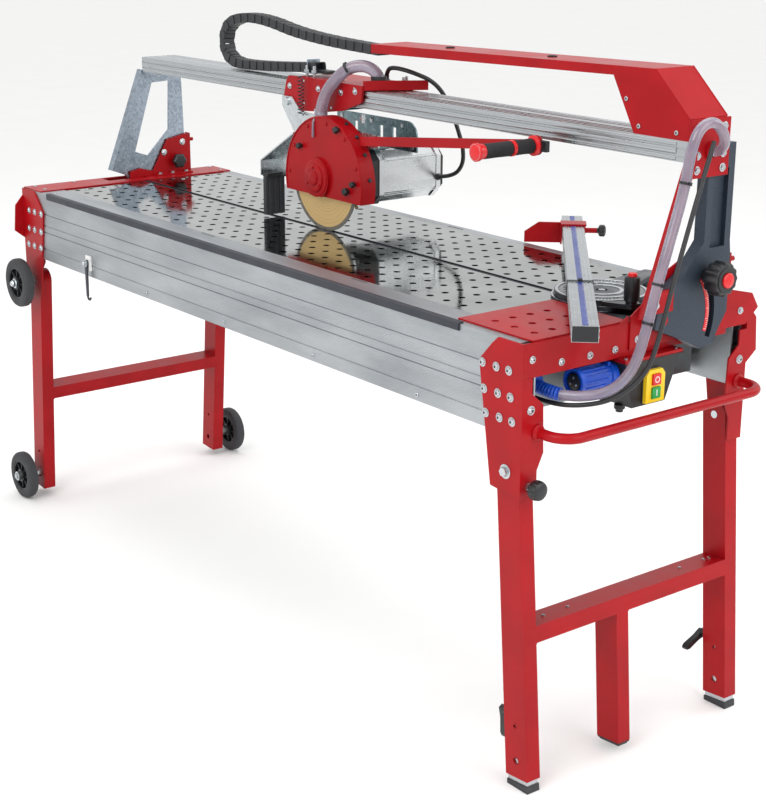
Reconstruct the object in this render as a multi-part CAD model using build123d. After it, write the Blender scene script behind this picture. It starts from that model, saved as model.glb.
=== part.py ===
from build123d import *
import math
import os

# Bridge-type wet tile saw. Millimetres. +X runs along the cut to the operator's end,
# +Y points to the back, +Z is up and the floor is z = 0. While the parts are drawn, x = 0 is the
# middle of the table and y = 0 is the cut line. save() moves the origin to the base's centre.

# ---- driving dimensions -------------------------------------------------------------------------
TABLE_TOP = 885.0
FRONT_FACE = -321.0
REAR_FACE = 279.0
MIDDLE_Y = (FRONT_FACE + REAR_FACE) / 2
PROFILE_BOTTOM = 705.0
PROFILE_HALF_LENGTH = 990.0
END_FACE = 1004.5
SHEET = 3.7
PLATE_THICKNESS = 3.0
PLATE_LEFT = -905.0
PLATE_RIGHT = 795.0
SLOT_HALF = 4.0
REAR_PLATE_EDGE = 251.0

LEG_X = 60.0
LEG_Y = 34.0
LEG_WALL = 3.0
RIGHT_PIVOT = (965.0, 636.0)
LEFT_PIVOT = (-965.0, 635.0)
RIGHT_SPLAY = 4.71
LEFT_SPLAY = 4.95
LEG_LENGTH = 615.0
LEG_GAP = 0.5

WHEEL_RADIUS = 66.0
WHEEL_WIDTH = 28.0
WHEEL_CENTRE = 345.0
AXLE_RADIUS = 8.0
RUNNING = 0.05

BEAM_FRONT = 34.0
BEAM_REAR = 139.0
BEAM_BOTTOM = 1178.0
BEAM_TOP = 1217.0
BEAM_LEFT = -958.0
BEAM_RIGHT = 1040.0
CASTING_X = (1012.0, 1038.0)
STAND_X = (-968.0, -960.0)
TILT_ARC = 130.0
STUD_ANGLE = 34.0

BLADE_RADIUS = 127.0
BLADE_THICKNESS = 2.4
SPINDLE = (-50.0, 1010.0)
GUARD_CENTRE = (-32.0, 1003.0)
GUARD_RADIUS = 152.0
GUARD_FRONT = -19.0
GUARD_BACK = 20.0
HEAD_PIVOT = (-235.0, 1168.0)

FENCE_START = (1097.0, -267.0)
FENCE_HEADING = 137.3
FENCE_LENGTH = 1022.0
FENCE_PIVOT = (830.0, 41.0)
FENCE_WIDTH = 48.0
FENCE_BOTTOM = 900.0
FENCE_TOP = 930.0

HOLE_PITCH_X = 51.5
HOLE_PITCH_Y = 39.0
HOLE_RADIUS = 7.5

BASE_CENTRE = (16.0, 25.0)

parts = {}


# ---- drawing helpers ----------------------------------------------------------------------------
def block(x, y, z):
    """A box from three (low, high) pairs."""
    size = (x[1] - x[0], y[1] - y[0], z[1] - z[0])
    middle = ((x[0] + x[1]) / 2, (y[0] + y[1]) / 2, (z[0] + z[1]) / 2)
    return Pos(*middle) * Box(*size)


def plate_x(outline, x):
    """An outline of (y, z) points, as thick as the (low, high) pair x."""
    plane = Plane(origin=(x[0], 0, 0), x_dir=(0, 1, 0), z_dir=(1, 0, 0))
    return extrude(plane * Polygon(*outline, align=None), amount=x[1] - x[0], dir=(1, 0, 0))


def plate_y(outline, y):
    """An outline of (x, z) points, as thick as the (low, high) pair y."""
    plane = Plane(origin=(0, y[0], 0), x_dir=(1, 0, 0), z_dir=(0, -1, 0))
    return extrude(plane * Polygon(*outline, align=None), amount=y[1] - y[0], dir=(0, 1, 0))


def plate_z(outline, z):
    """An outline of (x, y) points, as thick as the (low, high) pair z."""
    plane = Plane(origin=(0, 0, z[0]))
    return extrude(plane * Polygon(*outline, align=None), amount=z[1] - z[0], dir=(0, 0, 1))


def rod(start, end, radius):
    """A cylinder between two points."""
    line = Vector(*end) - Vector(*start)
    plane = Plane(origin=start, z_dir=line.normalized())
    return extrude(plane * Circle(radius), amount=line.length)


def rod_y(x, z, y, radius):
    """A cylinder along Y, from y[0] to y[1]."""
    return rod((x, y[0], z), (x, y[1], z), radius)


def rod_x(y, z, x, radius):
    """A cylinder along X, from x[0] to x[1]."""
    return rod((x[0], y, z), (x[1], y, z), radius)


def rod_z(x, y, z, radius):
    """A cylinder along Z, from z[0] to z[1]."""
    return rod((x, y, z[0]), (x, y, z[1]), radius)


def across(y):
    """The same place on the other side of the frame's middle plane."""
    return 2 * MIDDLE_Y - y


def span(a, b):
    """A (low, high) pair from two values in either order."""
    return (min(a, b), max(a, b))


def corner_radii(route, least):
    """One radius for each inner point of a cord's route, as large as its two runs allow."""
    radii = []
    for before, here, after in zip(route, route[1:], route[2:]):
        arrive = Vector(*here) - Vector(*before)
        leave = Vector(*after) - Vector(*here)
        turn = math.radians(arrive.get_angle(leave))
        radii.append(max(least, 0.45 * min(arrive.length, leave.length) / math.tan(turn / 2)))
    return radii


def tube(name, route, radius):
    """A cord along a route of points: straight runs joined by tangent arcs."""
    radii = corner_radii(route, radius)
    path = FilletPolyline(*route, radius=radii)
    first = Plane(origin=path @ 0, z_dir=path % 0)
    solid = sweep(first * Circle(radius), path=path)
    expected = math.pi * radius**2 * path.length
    share = solid.volume / expected
    print(f"{name}: length {path.length:.1f}, volume share {share:.4f}, radii", [round(r) for r in radii])
    return solid


def group(*solids):
    """Separate solids kept together in one node."""
    return Compound(children=[s for item in solids for s in item.solids()])


def save(name, shape):
    """Keeps a node, moved so that the origin is the centre of the machine's base."""
    parts[name] = Pos(-BASE_CENTRE[0], -BASE_CENTRE[1], 0) * shape


# ---- table ---------------------------------------------------------------------------------------
def side_profile(outer, inward, depth, rim):
    """An extruded side rail: three chambers, four outer grooves, a top rim and a ledge for the plates."""
    wall = 4.0
    length = (-PROFILE_HALF_LENGTH, PROFILE_HALF_LENGTH)
    beyond = (-PROFILE_HALF_LENGTH - 1, PROFILE_HALF_LENGTH + 1)
    body = block(length, span(outer, outer + inward * depth), (PROFILE_BOTTOM, TABLE_TOP))
    if rim > depth:
        lip = span(outer + inward * depth, outer + inward * rim)
        body += block(length, lip, (TABLE_TOP - 8, TABLE_TOP))
    body += block(length, span(outer + inward * (rim - 8), outer + inward * (rim + 16)), (870, 881.7))
    for bottom, top in ((709, 777), (781, 826), (830, 873)):
        body -= block(beyond, span(outer + inward * wall, outer + inward * (depth - wall)), (bottom, top))
    for height in (735, 781, 799, 830):
        body -= block(beyond, span(outer - inward, outer + inward * 1.8), (height - 1.5, height + 1.5))
    return body


def hole_grid(x_range, y_values, radius, z):
    """Drills for a rectangular pattern of holes."""
    drills = []
    for y in y_values:
        x = x_range[0]
        while x <= x_range[1]:
            drills.append(rod_z(x, y, (z[0] - 1, z[1] + 1), radius))
            x += HOLE_PITCH_X
    return drills


def make_table():
    save("front_side_profile", side_profile(FRONT_FACE, 1, 40.0, 70.0))
    save("rear_side_profile", side_profile(REAR_FACE, -1, 28.0, 28.0))

    plate_z_range = (TABLE_TOP - PLATE_THICKNESS, TABLE_TOP)
    rows = [28 + HOLE_PITCH_Y * i for i in range(6)]
    front = block((PLATE_LEFT, PLATE_RIGHT), (-REAR_PLATE_EDGE + 0.3, -SLOT_HALF), plate_z_range)
    front -= hole_grid((-877, 770), [-y for y in rows], HOLE_RADIUS, plate_z_range)
    save("front_table_plate", front)

    rear_outline = [
        (PLATE_LEFT, SLOT_HALF),
        (PLATE_RIGHT + 1, SLOT_HALF),
        (PLATE_RIGHT + 1, -50),
        (1000, -50),
        (1000, REAR_PLATE_EDGE - 0.3),
        (PLATE_LEFT, REAR_PLATE_EDGE - 0.3),
    ]
    rear = plate_z(rear_outline, plate_z_range)
    rear -= hole_grid((-877, 700), rows, HOLE_RADIUS, plate_z_range)
    rear -= hole_grid((719.5, 780), rows[4:], HOLE_RADIUS, plate_z_range)
    save("rear_table_plate", rear)

    cover_z = (TABLE_TOP, TABLE_TOP + 3)
    left_cover = block((-1000.5, PLATE_LEFT - 0.5), (FRONT_FACE + 0.5, REAR_FACE - 0.5), cover_z)
    left_cover -= block((-993, -948), (-90, 30), (cover_z[0] - 1, cover_z[1] + 1))
    save("left_end_cover", left_cover)
    right_cover = block((PLATE_RIGHT, 1000.5), (-301, -60), cover_z)
    right_cover -= [
        rod_z(855 + 53.5 * i, -129 - 44 * j, (cover_z[0] - 1, cover_z[1] + 1), HOLE_RADIUS)
        for i in range(3)
        for j in range(4)
    ]
    save("right_end_cover", right_cover)

    bars = []
    for x in (-840, -420, 0, 420, 840):
        bars.append(block((x - 20, x + 20), (FRONT_FACE + 40, REAR_FACE - 28), (865, 869.7)))
    save("cross_members", group(*bars))


def make_tank():
    wall = 2.0
    x = (-900, 900)
    y = (-270, 238)
    z = (715, 862)
    inner = ((x[0] + wall, x[1] - wall), (y[0] + wall, y[1] - wall), (z[0] + wall, z[1] + 1))
    tank = block(x, y, z) - block(*inner)
    tank += rod_x(-238, 785, (900, 915), 12) - rod_x(-238, 785, (897, 916), 7)
    save("water_tank", tank)

    pump = block((800, 870), (-250, -190), (717, 770))
    pump += rod_x(-220, 740, (870, 882), 18)
    pump += rod_z(835, -220, (770, 800), 9)
    save("water_pump", pump)


# ---- frame ends ----------------------------------------------------------------------------------
def make_aprons():
    skin = (END_FACE - SHEET, END_FACE)
    outline = [
        (FRONT_FACE, 820),
        (FRONT_FACE, TABLE_TOP),
        (-85, TABLE_TOP),
        (-62, 897),
        (-62, 884),
        (215, 884),
        (215, 820),
    ]
    right = plate_x(outline, skin)
    left = block((-END_FACE, -END_FACE + SHEET), (FRONT_FACE, REAR_FACE), (820, TABLE_TOP))
    save("end_aprons", group(left, right))


def bracket(end, side, ear):
    """A folded corner bracket: a cheek on the side rail, a flange on the end and an outward ear."""
    outer = FRONT_FACE if side < 0 else REAR_FACE
    cheek = [
        (end * 885, 833),
        (end * 918, 869),
        (end * 935, 884.5),
        (end * END_FACE, 884.5),
        (end * END_FACE, 590),
        (end * 923, 598),
    ]
    shape = plate_y(cheek, span(outer, outer + side * 4))

    def place(y):
        return y if side < 0 else across(y)

    flange = [
        (-325, 819.7),
        (-301, 819.7),
        (-301, 789),
        (-273, 765),
        (-269, 672),
        (-284, 640),
        (-284, 590),
        (-325, 590),
    ]
    skin = span(end * (END_FACE - SHEET), end * END_FACE)
    shape += plate_x([(place(y), z) for y, z in flange], skin)
    if ear:
        outward = [(-325, 866), (-348, 840), (-354, 771), (-325, 748)]
        shape += plate_x([(place(y), z) for y, z in outward], skin)
    pivot = RIGHT_PIVOT if end > 0 else LEFT_PIVOT
    return shape - rod_y(pivot[0], pivot[1], (outer - 6, outer + 6), AXLE_RADIUS + RUNNING)


def make_brackets():
    near_right = bracket(1, -1, False)
    near_right -= rod_x(-303, 612, (END_FACE - 8, END_FACE + 1), 4 + RUNNING)
    others = [bracket(1, 1, True), bracket(-1, -1, True), bracket(-1, 1, True)]
    save("corner_brackets", group(near_right, *others))


def bolt_head(place, axis, radius=6.5, height=4.5):
    """A domed washer and hexagon head standing on a face."""
    plane = Plane(origin=place, z_dir=axis)
    washer = extrude(plane * Circle(radius + 2), amount=1.2)
    return washer + extrude(plane * RegularPolygon(radius, 6), amount=1.2 + height)


def make_bolts():
    heads = []
    for side in (-1, 1):
        face = FRONT_FACE - 4 if side < 0 else REAR_FACE + 4
        for end in (-1, 1):
            for row, height in enumerate((829, 780, 735)):
                for column in (895, 933, 967):
                    heads.append(bolt_head((end * (column + 6 * row), face, height), (0, side, 0)))
    for y in (-304, across(-304)):
        heads.append(bolt_head((END_FACE, y, 759), (1, 0, 0)))
        heads.append(bolt_head((-END_FACE, y, 759), (-1, 0, 0)))
    for y in (-304, -232, -160, -95):
        heads.append(bolt_head((END_FACE, y, 854 if y == -304 else 838), (1, 0, 0), 5, 3.5))
    for side in (-1, 1):
        inner = FRONT_FACE + 35 if side < 0 else REAR_FACE - 35
        face = FRONT_FACE - 4 if side < 0 else REAR_FACE + 4
        pin = rod_y(RIGHT_PIVOT[0], RIGHT_PIVOT[1], span(inner, face), AXLE_RADIUS)
        pin += rod_y(RIGHT_PIVOT[0], RIGHT_PIVOT[1], span(face, face + side * 7), 12)
        heads.append(pin)
        heads.append(axle(LEFT_PIVOT[0], LEFT_PIVOT[1], side, inner, face))
    stud = rod_y(-640, 742, (FRONT_FACE - 20, FRONT_FACE), 3)
    stud += rod_y(-640, 742, (FRONT_FACE - 22, FRONT_FACE - 14), 11)
    heads.append(stud)
    save("frame_bolts", group(*heads))


def axle(x, z, side, inner, shoulder_start):
    """A wheel axle: pin, spacer between the frame and the wheel, and an end nut."""
    wheel_inner = MIDDLE_Y + side * (WHEEL_CENTRE - WHEEL_WIDTH / 2 - 0.5)
    wheel_outer = MIDDLE_Y + side * (WHEEL_CENTRE + WHEEL_WIDTH / 2 + 0.5)
    tip = wheel_outer + side * 13
    pin = rod_y(x, z, span(inner, tip), AXLE_RADIUS)
    pin += rod_y(x, z, span(shoulder_start, wheel_inner), 14)
    pin += rod_y(x, z, span(wheel_outer, tip - side * 4), 13)
    return pin


# ---- legs ----------------------------------------------------------------------------------------
def leg_place(pivot, splay):
    """The frame of a leg pair: origin on the pivot axis, local -Z down along the leg."""
    return Pos(pivot[0], 0, pivot[1]) * Rot(0, splay, 0)


def leg_tube(y):
    """One leg in its own frame: a rectangular tube with a round top and an open foot."""
    half = LEG_X / 2
    shape = block((-half, half), y, (-LEG_LENGTH, 0)) + rod_y(0, 0, y, half)
    inside = (y[0] + LEG_WALL, y[1] - LEG_WALL)
    shape -= block((-half + LEG_WALL, half - LEG_WALL), inside, (-LEG_LENGTH - 1, -34))
    return shape


def leg_frame(side_spans, bar_top, middle_leg):
    """Two legs with a crossbar, and a middle leg where there is one, in the leg frame."""
    frame = leg_tube(side_spans[0]) + leg_tube(side_spans[1])
    gap = (side_spans[0][1], side_spans[1][0])
    bar = block((-LEG_X / 2, LEG_X / 2), gap, (bar_top - LEG_Y, bar_top))
    frame += bar
    if middle_leg:
        frame += block((-LEG_X / 2, LEG_X / 2), middle_leg, (-LEG_LENGTH, bar_top - LEG_Y))
    for y in side_spans:
        outer_wall = (y[0] - 1, y[0] + LEG_WALL + 1)
        frame -= rod_y(0, -508, outer_wall, 4)
        frame -= rod_y(0, -580, outer_wall, 7)
        frame -= rod_y(0, 0, (y[0] - 1, y[1] + 1), AXLE_RADIUS + RUNNING)
    return frame


NEAR_LEG = (FRONT_FACE + LEG_GAP, FRONT_FACE + LEG_GAP + LEG_Y)
FAR_LEG = (REAR_FACE - LEG_GAP - LEG_Y, REAR_FACE - LEG_GAP)
LEVER_HEIGHT = -492.0
LOWER_AXLE = -571.0


def make_legs():
    right = leg_frame((NEAR_LEG, FAR_LEG), -305, (-73, -41))
    for y in (NEAR_LEG, FAR_LEG):
        middle = (y[0] + y[1]) / 2
        right -= rod_x(middle, LEVER_HEIGHT, (-LEG_X / 2 - 1, -LEG_X / 2 + LEG_WALL + 1), 5 + RUNNING)
    save("right_leg_frame", leg_place(RIGHT_PIVOT, -RIGHT_SPLAY) * right)

    left = leg_frame((NEAR_LEG, FAR_LEG), -310, None)
    for side, face in ((-1, NEAR_LEG[0]), (1, FAR_LEG[1])):
        left += axle(0, LOWER_AXLE, side, face, face)
    save("left_leg_frame", leg_place(LEFT_PIVOT, LEFT_SPLAY) * left)


def make_feet():
    place = leg_place(RIGHT_PIVOT, -RIGHT_SPLAY)
    floor = block((500, 1500), (-600, 600), (0, 100))
    for name, y in (("near", NEAR_LEG), ("far", FAR_LEG)):
        inside = (y[0] + LEG_WALL + 0.3, y[1] - LEG_WALL - 0.3)
        half = LEG_X / 2 - LEG_WALL - 0.3
        bar = block((-half, half), inside, (-626, -470))
        bar -= block((-half + 2, half - 2), (inside[0] + 2, inside[1] - 2), (-627, -469))
        pad = block((-half - 2, half + 2), (inside[0] - 2, inside[1] + 2), (-660, -626))
        save(f"{name}_foot", group(place * bar, (place * pad) & floor))


def make_levers():
    place = leg_place(RIGHT_PIVOT, -RIGHT_SPLAY)
    face = -LEG_X / 2
    for name, y, turn in (("near", NEAR_LEG, 0), ("far", FAR_LEG, -68)):
        middle = (y[0] + y[1]) / 2
        stud = rod_x(0, 0, (face - 10, face + LEG_WALL - 0.2), 5)
        hub = rod_x(0, 0, (face - 20, face - 0.4), 9)
        outline = [(-7, 4), (7, 4), (5, -58), (-5, -58)]
        grip = plate_x(outline, (face - 26, face - 12))
        lever = Rot(turn, 0, 0) * (stud + hub + grip)
        save(f"{name}_foot_lever", place * Pos(0, middle, LEVER_HEIGHT) * lever)


def wheel(x, z, side):
    """A solid tyre on a ribbed hub, with its bore along Y."""
    centre = MIDDLE_Y + side * WHEEL_CENTRE
    half = WHEEL_WIDTH / 2
    tyre = rod_y(x, z, (centre - half, centre + half), WHEEL_RADIUS)
    tyre = fillet(tyre.edges().filter_by(GeomType.CIRCLE), 6)
    for face in (-1, 1):
        tyre -= rod_y(x, z, span(centre + face * (half - 5), centre + face * (half + 1)), 44)
    tyre += rod_y(x, z, (centre - half, centre + half), 18)
    return tyre - rod_y(x, z, (centre - half - 1, centre + half + 1), AXLE_RADIUS + RUNNING)


def make_wheels():
    splay = math.radians(LEFT_SPLAY)
    lower_x = LEFT_PIVOT[0] + LOWER_AXLE * math.sin(splay)
    lower_z = LEFT_PIVOT[1] + LOWER_AXLE * math.cos(splay)
    for name, side in (("near", -1), ("far", 1)):
        save(f"upper_{name}_wheel", wheel(LEFT_PIVOT[0], LEFT_PIVOT[1], side))
        save(f"lower_{name}_wheel", wheel(lower_x, lower_z, side))


def make_lock_knob():
    knob = rod_x(-303, 612, (END_FACE - SHEET, END_FACE + 2), 4)
    knob += rod_x(-303, 612, (END_FACE + 0.3, END_FACE + 12), 9)
    knob += rod_x(-303, 612, (END_FACE + 12, END_FACE + 36), 19)
    save("leg_lock_knob", knob)


def make_hook():
    strap = plate_y([(-646, 748), (-634, 748), (-636, 655), (-644, 655)], (FRONT_FACE - 12, FRONT_FACE - 7))
    strap -= rod_y(-640, 742, (FRONT_FACE - 14, FRONT_FACE - 5), 3 + RUNNING)
    bend = rod_y(-632, 655, (FRONT_FACE - 12, FRONT_FACE - 7), 12) - rod_y(-632, 655, (-400, -300), 6)
    bend -= block((-660, -600), (-400, -300), (655, 700))
    save("transport_hook", strap + bend)


# ---- operator's end ------------------------------------------------------------------------------
def make_push_handle():
    height = 714
    route = [(END_FACE, -285, height), (1075, -285, height), (1075, 262, height), (END_FACE, 262, height)]
    path = FilletPolyline(*route, radius=45)
    bar = sweep(Plane(origin=path @ 0, z_dir=path % 0) * Circle(10), path=path)
    save("push_handle", bar)


def make_switch_box():
    top = Plane(origin=(0, 0, 812)) * Pos(977, -10) * Rectangle(94, 148)
    bottom = Plane(origin=(0, 0, 722)) * Pos(986, -18) * Rectangle(76, 90)
    save("switch_box", loft([bottom.face(), top.face()]))
    save("switch_box_lid", block((924, 1027), (-88, 68), (812, 819)))

    guard = [(-36, 728), (-36, 782), (-28, 792), (6, 792), (14, 782), (14, 728)]
    plate = plate_x(guard, (1024, 1034))
    for z in ((736, 758), (762, 784)):
        plate -= block((1028, 1036), (-22, 0), z)
    save("switch_plate", plate)
    for name, z in (("start_button", (736.4, 757.6)), ("stop_button", (762.4, 783.6))):
        save(name, block((1032, 1038), (-21.6, -0.4), z))

    inlet = rod_y(985, 786, (-100, -84), 25)
    inlet += rod_y(985, 786, (-180, -100), 23)
    inlet -= rod_y(985, 786, (-181, -145), 19.5)
    inlet += rod_y(985, 786, (-178, -145), 16)
    save("power_inlet", inlet)


def make_tilt_supports():
    plate_outline = [
        (-60, 832),
        (-60, 896),
        (-46, 906),
        (-5, 930),
        (15, 965),
        (60, 985),
        (150, 985),
        (200, 975),
        (222, 908),
        (284, 893),
        (304, 862),
        (270, 832),
    ]
    skin = (END_FACE + 0.3, END_FACE + 3.7)
    plate = plate_x(plate_outline, skin)
    plate += rod_x(0, TABLE_TOP, (END_FACE + 1, CASTING_X[1]), 9)
    stud_y = TILT_ARC * math.cos(math.radians(STUD_ANGLE))
    stud_z = TABLE_TOP + TILT_ARC * math.sin(math.radians(STUD_ANGLE))
    plate += rod_x(stud_y, stud_z, (END_FACE + 1, 1060), 6)
    plate += block((skin[0], 1034), (178, 182), (962, 992))
    plate += rod_y(1026, 978, (173.4, 196), 5)
    save("right_tilt_plate", plate)

    lug_outline = [(54, 888.3), (54, 902), (101, 985), (162, 998), (172, 990), (172, 888.3)]
    lug = plate_x(lug_outline, (-957, -953))
    nose_outline = [(-20, 866), (-20, 905), (12, 912), (56, 900), (56, 888.3), (20.5, 888.3), (20.5, 866)]
    lug += plate_x(nose_outline, (-957, -953))
    lug += block((-975, -953), (172, 176), (888.3, 998))
    lug += block((-957, -935), (54, 172), (888.3, 892))
    lug += rod_y(-967, 978, (165, 192), 5)
    lug += rod_x(0, TABLE_TOP, (-970, -955), 6)
    save("left_tilt_lug", lug)

    knob = rod_x(stud_y, stud_z, (CASTING_X[1] + 0.3, 1056), 15)
    knob += rod_x(stud_y, stud_z, (1056, 1090), 34)
    knob += rod_x(stud_y, stud_z, (1090, 1096), 20)
    knob -= rod_x(stud_y, stud_z, (CASTING_X[1], 1061), 6 + RUNNING)
    save("tilt_clamp_knob", knob)


# ---- tilting bridge ------------------------------------------------------------------------------
def make_left_stand():
    outline = [
        (-72, 912),
        (33, 1182),
        (153, 1182),
        (157, 1150),
        (164, 896),
        (30, 896),
        (18, 868),
        (-18, 868),
        (-30, 896),
    ]
    hole = [(62, 1145), (118, 1148), (112, 1012), (44, 944), (2, 958)]
    stand = plate_x(outline, STAND_X)
    stand -= plate_x(hole, (STAND_X[0] - 1, STAND_X[1] + 1))
    lip = [(-72, 912), (33, 1182), (37, 1182), (-67, 912)]
    stand += plate_x(lip, (STAND_X[0] - 18, STAND_X[0]))
    stand += block((STAND_X[0], -890), (BEAM_FRONT, BEAM_REAR), (1172, BEAM_BOTTOM))
    stand -= block((BEAM_LEFT, -880), (BEAM_FRONT - 5, BEAM_REAR + 30), (BEAM_BOTTOM, 1190))
    stand -= rod_x(0, TABLE_TOP, (STAND_X[0] - 1, STAND_X[1] + 1), 6 + RUNNING)
    save("left_stand", stand)


def make_right_stand():
    outline = [
        (-26, 872),
        (59, 837),
        (100, 815),
        (138, 822),
        (150, 844),
        (173, 880),
        (173, 990),
        (169, 1020),
        (169, 1206),
        (141, 1206),
        (141, BEAM_BOTTOM),
        (96, BEAM_BOTTOM),
        (96, 1024),
        (44, 964),
        (16, 949),
        (-12, 948),
    ]
    casting = plate_x(outline, CASTING_X)
    web = [(112, 1010), (112, 1160), (153, 1160), (153, 1010)]
    casting -= plate_x(web, (CASTING_X[0] + 16, CASTING_X[1] + 1))
    slot = []
    for angle in range(-22, 40, 2):
        y = TILT_ARC * math.cos(math.radians(angle))
        z = TABLE_TOP + TILT_ARC * math.sin(math.radians(angle))
        slot.append((y, z))
    inner = TILT_ARC - 7.0
    outer = TILT_ARC + 7.0
    band = []
    for radius, line in ((outer, slot), (inner, reversed(slot))):
        for y, z in line:
            band.append((y * radius / TILT_ARC, TABLE_TOP + (z - TABLE_TOP) * radius / TILT_ARC))
    casting -= plate_x(band, (CASTING_X[0] - 1, CASTING_X[1] + 1))
    casting -= rod_x(0, TABLE_TOP, (CASTING_X[0] - 1, CASTING_X[1] + 1), 9 + RUNNING)
    save("right_stand", casting)

    stay = plate_x([(-82, 902), (-52, 902), (50, 1176), (50, 1196), (24, 1196)], (1044.8, 1049))
    stay += block((CASTING_X[1], 1049), (-25, 8), (906, 946))
    stay += plate_x([(-60, 906), (-20, 906), (-20, 946), (-50, 946)], (1044.8, 1049))
    save("right_stay", stay)


def make_beam():
    beam = block((BEAM_LEFT, BEAM_RIGHT), (BEAM_FRONT, BEAM_REAR), (BEAM_BOTTOM, BEAM_TOP))
    beyond = (BEAM_LEFT - 1, BEAM_RIGHT + 1)
    for y in ((38, 84), (89, 135)):
        beam -= block(beyond, y, (BEAM_BOTTOM + 4, BEAM_TOP - 4))
    for z in (1190, 1204):
        beam -= block(beyond, (BEAM_FRONT - 1, BEAM_FRONT + 2), (z - 2, z + 2))
    save("guide_beam", beam)

    end = block((BEAM_RIGHT + 0.3, 1044.5), (BEAM_FRONT, 142), (1148, 1256))
    end -= rod_x(93, 1196, (1030, 1050), 15)
    end += rod_x(93, 1196, (BEAM_RIGHT + 0.3, 1050), 18) - rod_x(93, 1196, (1030, 1060), 11)

    y = (BEAM_FRONT, 136)
    outer = [
        (83, 1305),
        (83, 1325),
        (950, 1341),
        (BEAM_RIGHT, 1258),
        (BEAM_RIGHT, BEAM_TOP),
        (902, BEAM_TOP),
        (843, 1321),
    ]
    arm = plate_y(outer, y)
    channel = [(80, 1300), (80, 1322), (843, 1336), (843, 1300)]
    pocket = [(846, 1336), (948, 1337.6), (1036, 1256), (1036, 1214), (906, 1214), (848, 1317)]
    arm -= plate_y(channel, (y[0] + 3, y[1] - 3))
    arm -= plate_y(pocket, (y[0] + 3, y[1] - 3))
    save("cable_arm", group(arm, end))


def make_chain():
    route = [
        (82, 72, 1309),
        (-190, 72, 1315),
        (-430, 72, 1358),
        (-580, 72, 1334),
        (-580, 72, 1236),
        (-430, 72, 1231),
        (-170, 72, 1251),
    ]
    path = FilletPolyline(*route, radius=[400, 400, 45, 45, 30])
    section = Plane(origin=path @ 0, z_dir=path % 0, x_dir=(0, 1, 0)) * Rectangle(34, 24)
    save("cable_chain", sweep(section, path=path))


# ---- carriage and cutting head -------------------------------------------------------------------
def make_carriage():
    cheek = [
        (-190, 1230),
        (-234, 1229),
        (-244, 1216),
        (-258, 1170),
        (-248, 1144),
        (-70, 1158),
        (-15, 1166),
        (57, 1191),
        (62, 1230),
    ]
    carriage = plate_y(cheek, (26, 31.5))
    carriage += plate_z([(-200, 31.5), (62, 31.5), (135, 160), (-200, 160)], (1226.6, 1230))
    carriage += plate_z([(62, 31.5), (135, 160), (130, 160), (57, 31.5)], (1219, 1241))
    carriage += block((-200, 100), (141, 144.5), (1158, 1226.6))
    carriage -= rod_y(HEAD_PIVOT[0], HEAD_PIVOT[1], (20, 40), 6 + RUNNING)
    above = BEAM_TOP + 4.8
    below = BEAM_BOTTOM - 9.3
    rollers = []
    for x, z, radius in ((-170, above, 4.5), (30, above, 4.5), (-170, below, 9), (-60, below, 9)):
        carriage -= rod_y(x, z, (20, 150), 3)
        roller = rod_y(x, z, (26, 144.5), 2.7)
        roller += rod_y(x, z, (44, 128), radius)
        rollers.append(roller)
    save("carriage", carriage)
    save("carriage_rollers", group(*rollers))

    save("head_spring", rod_z(-164, 12, (1140, 1236), 8))


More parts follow.
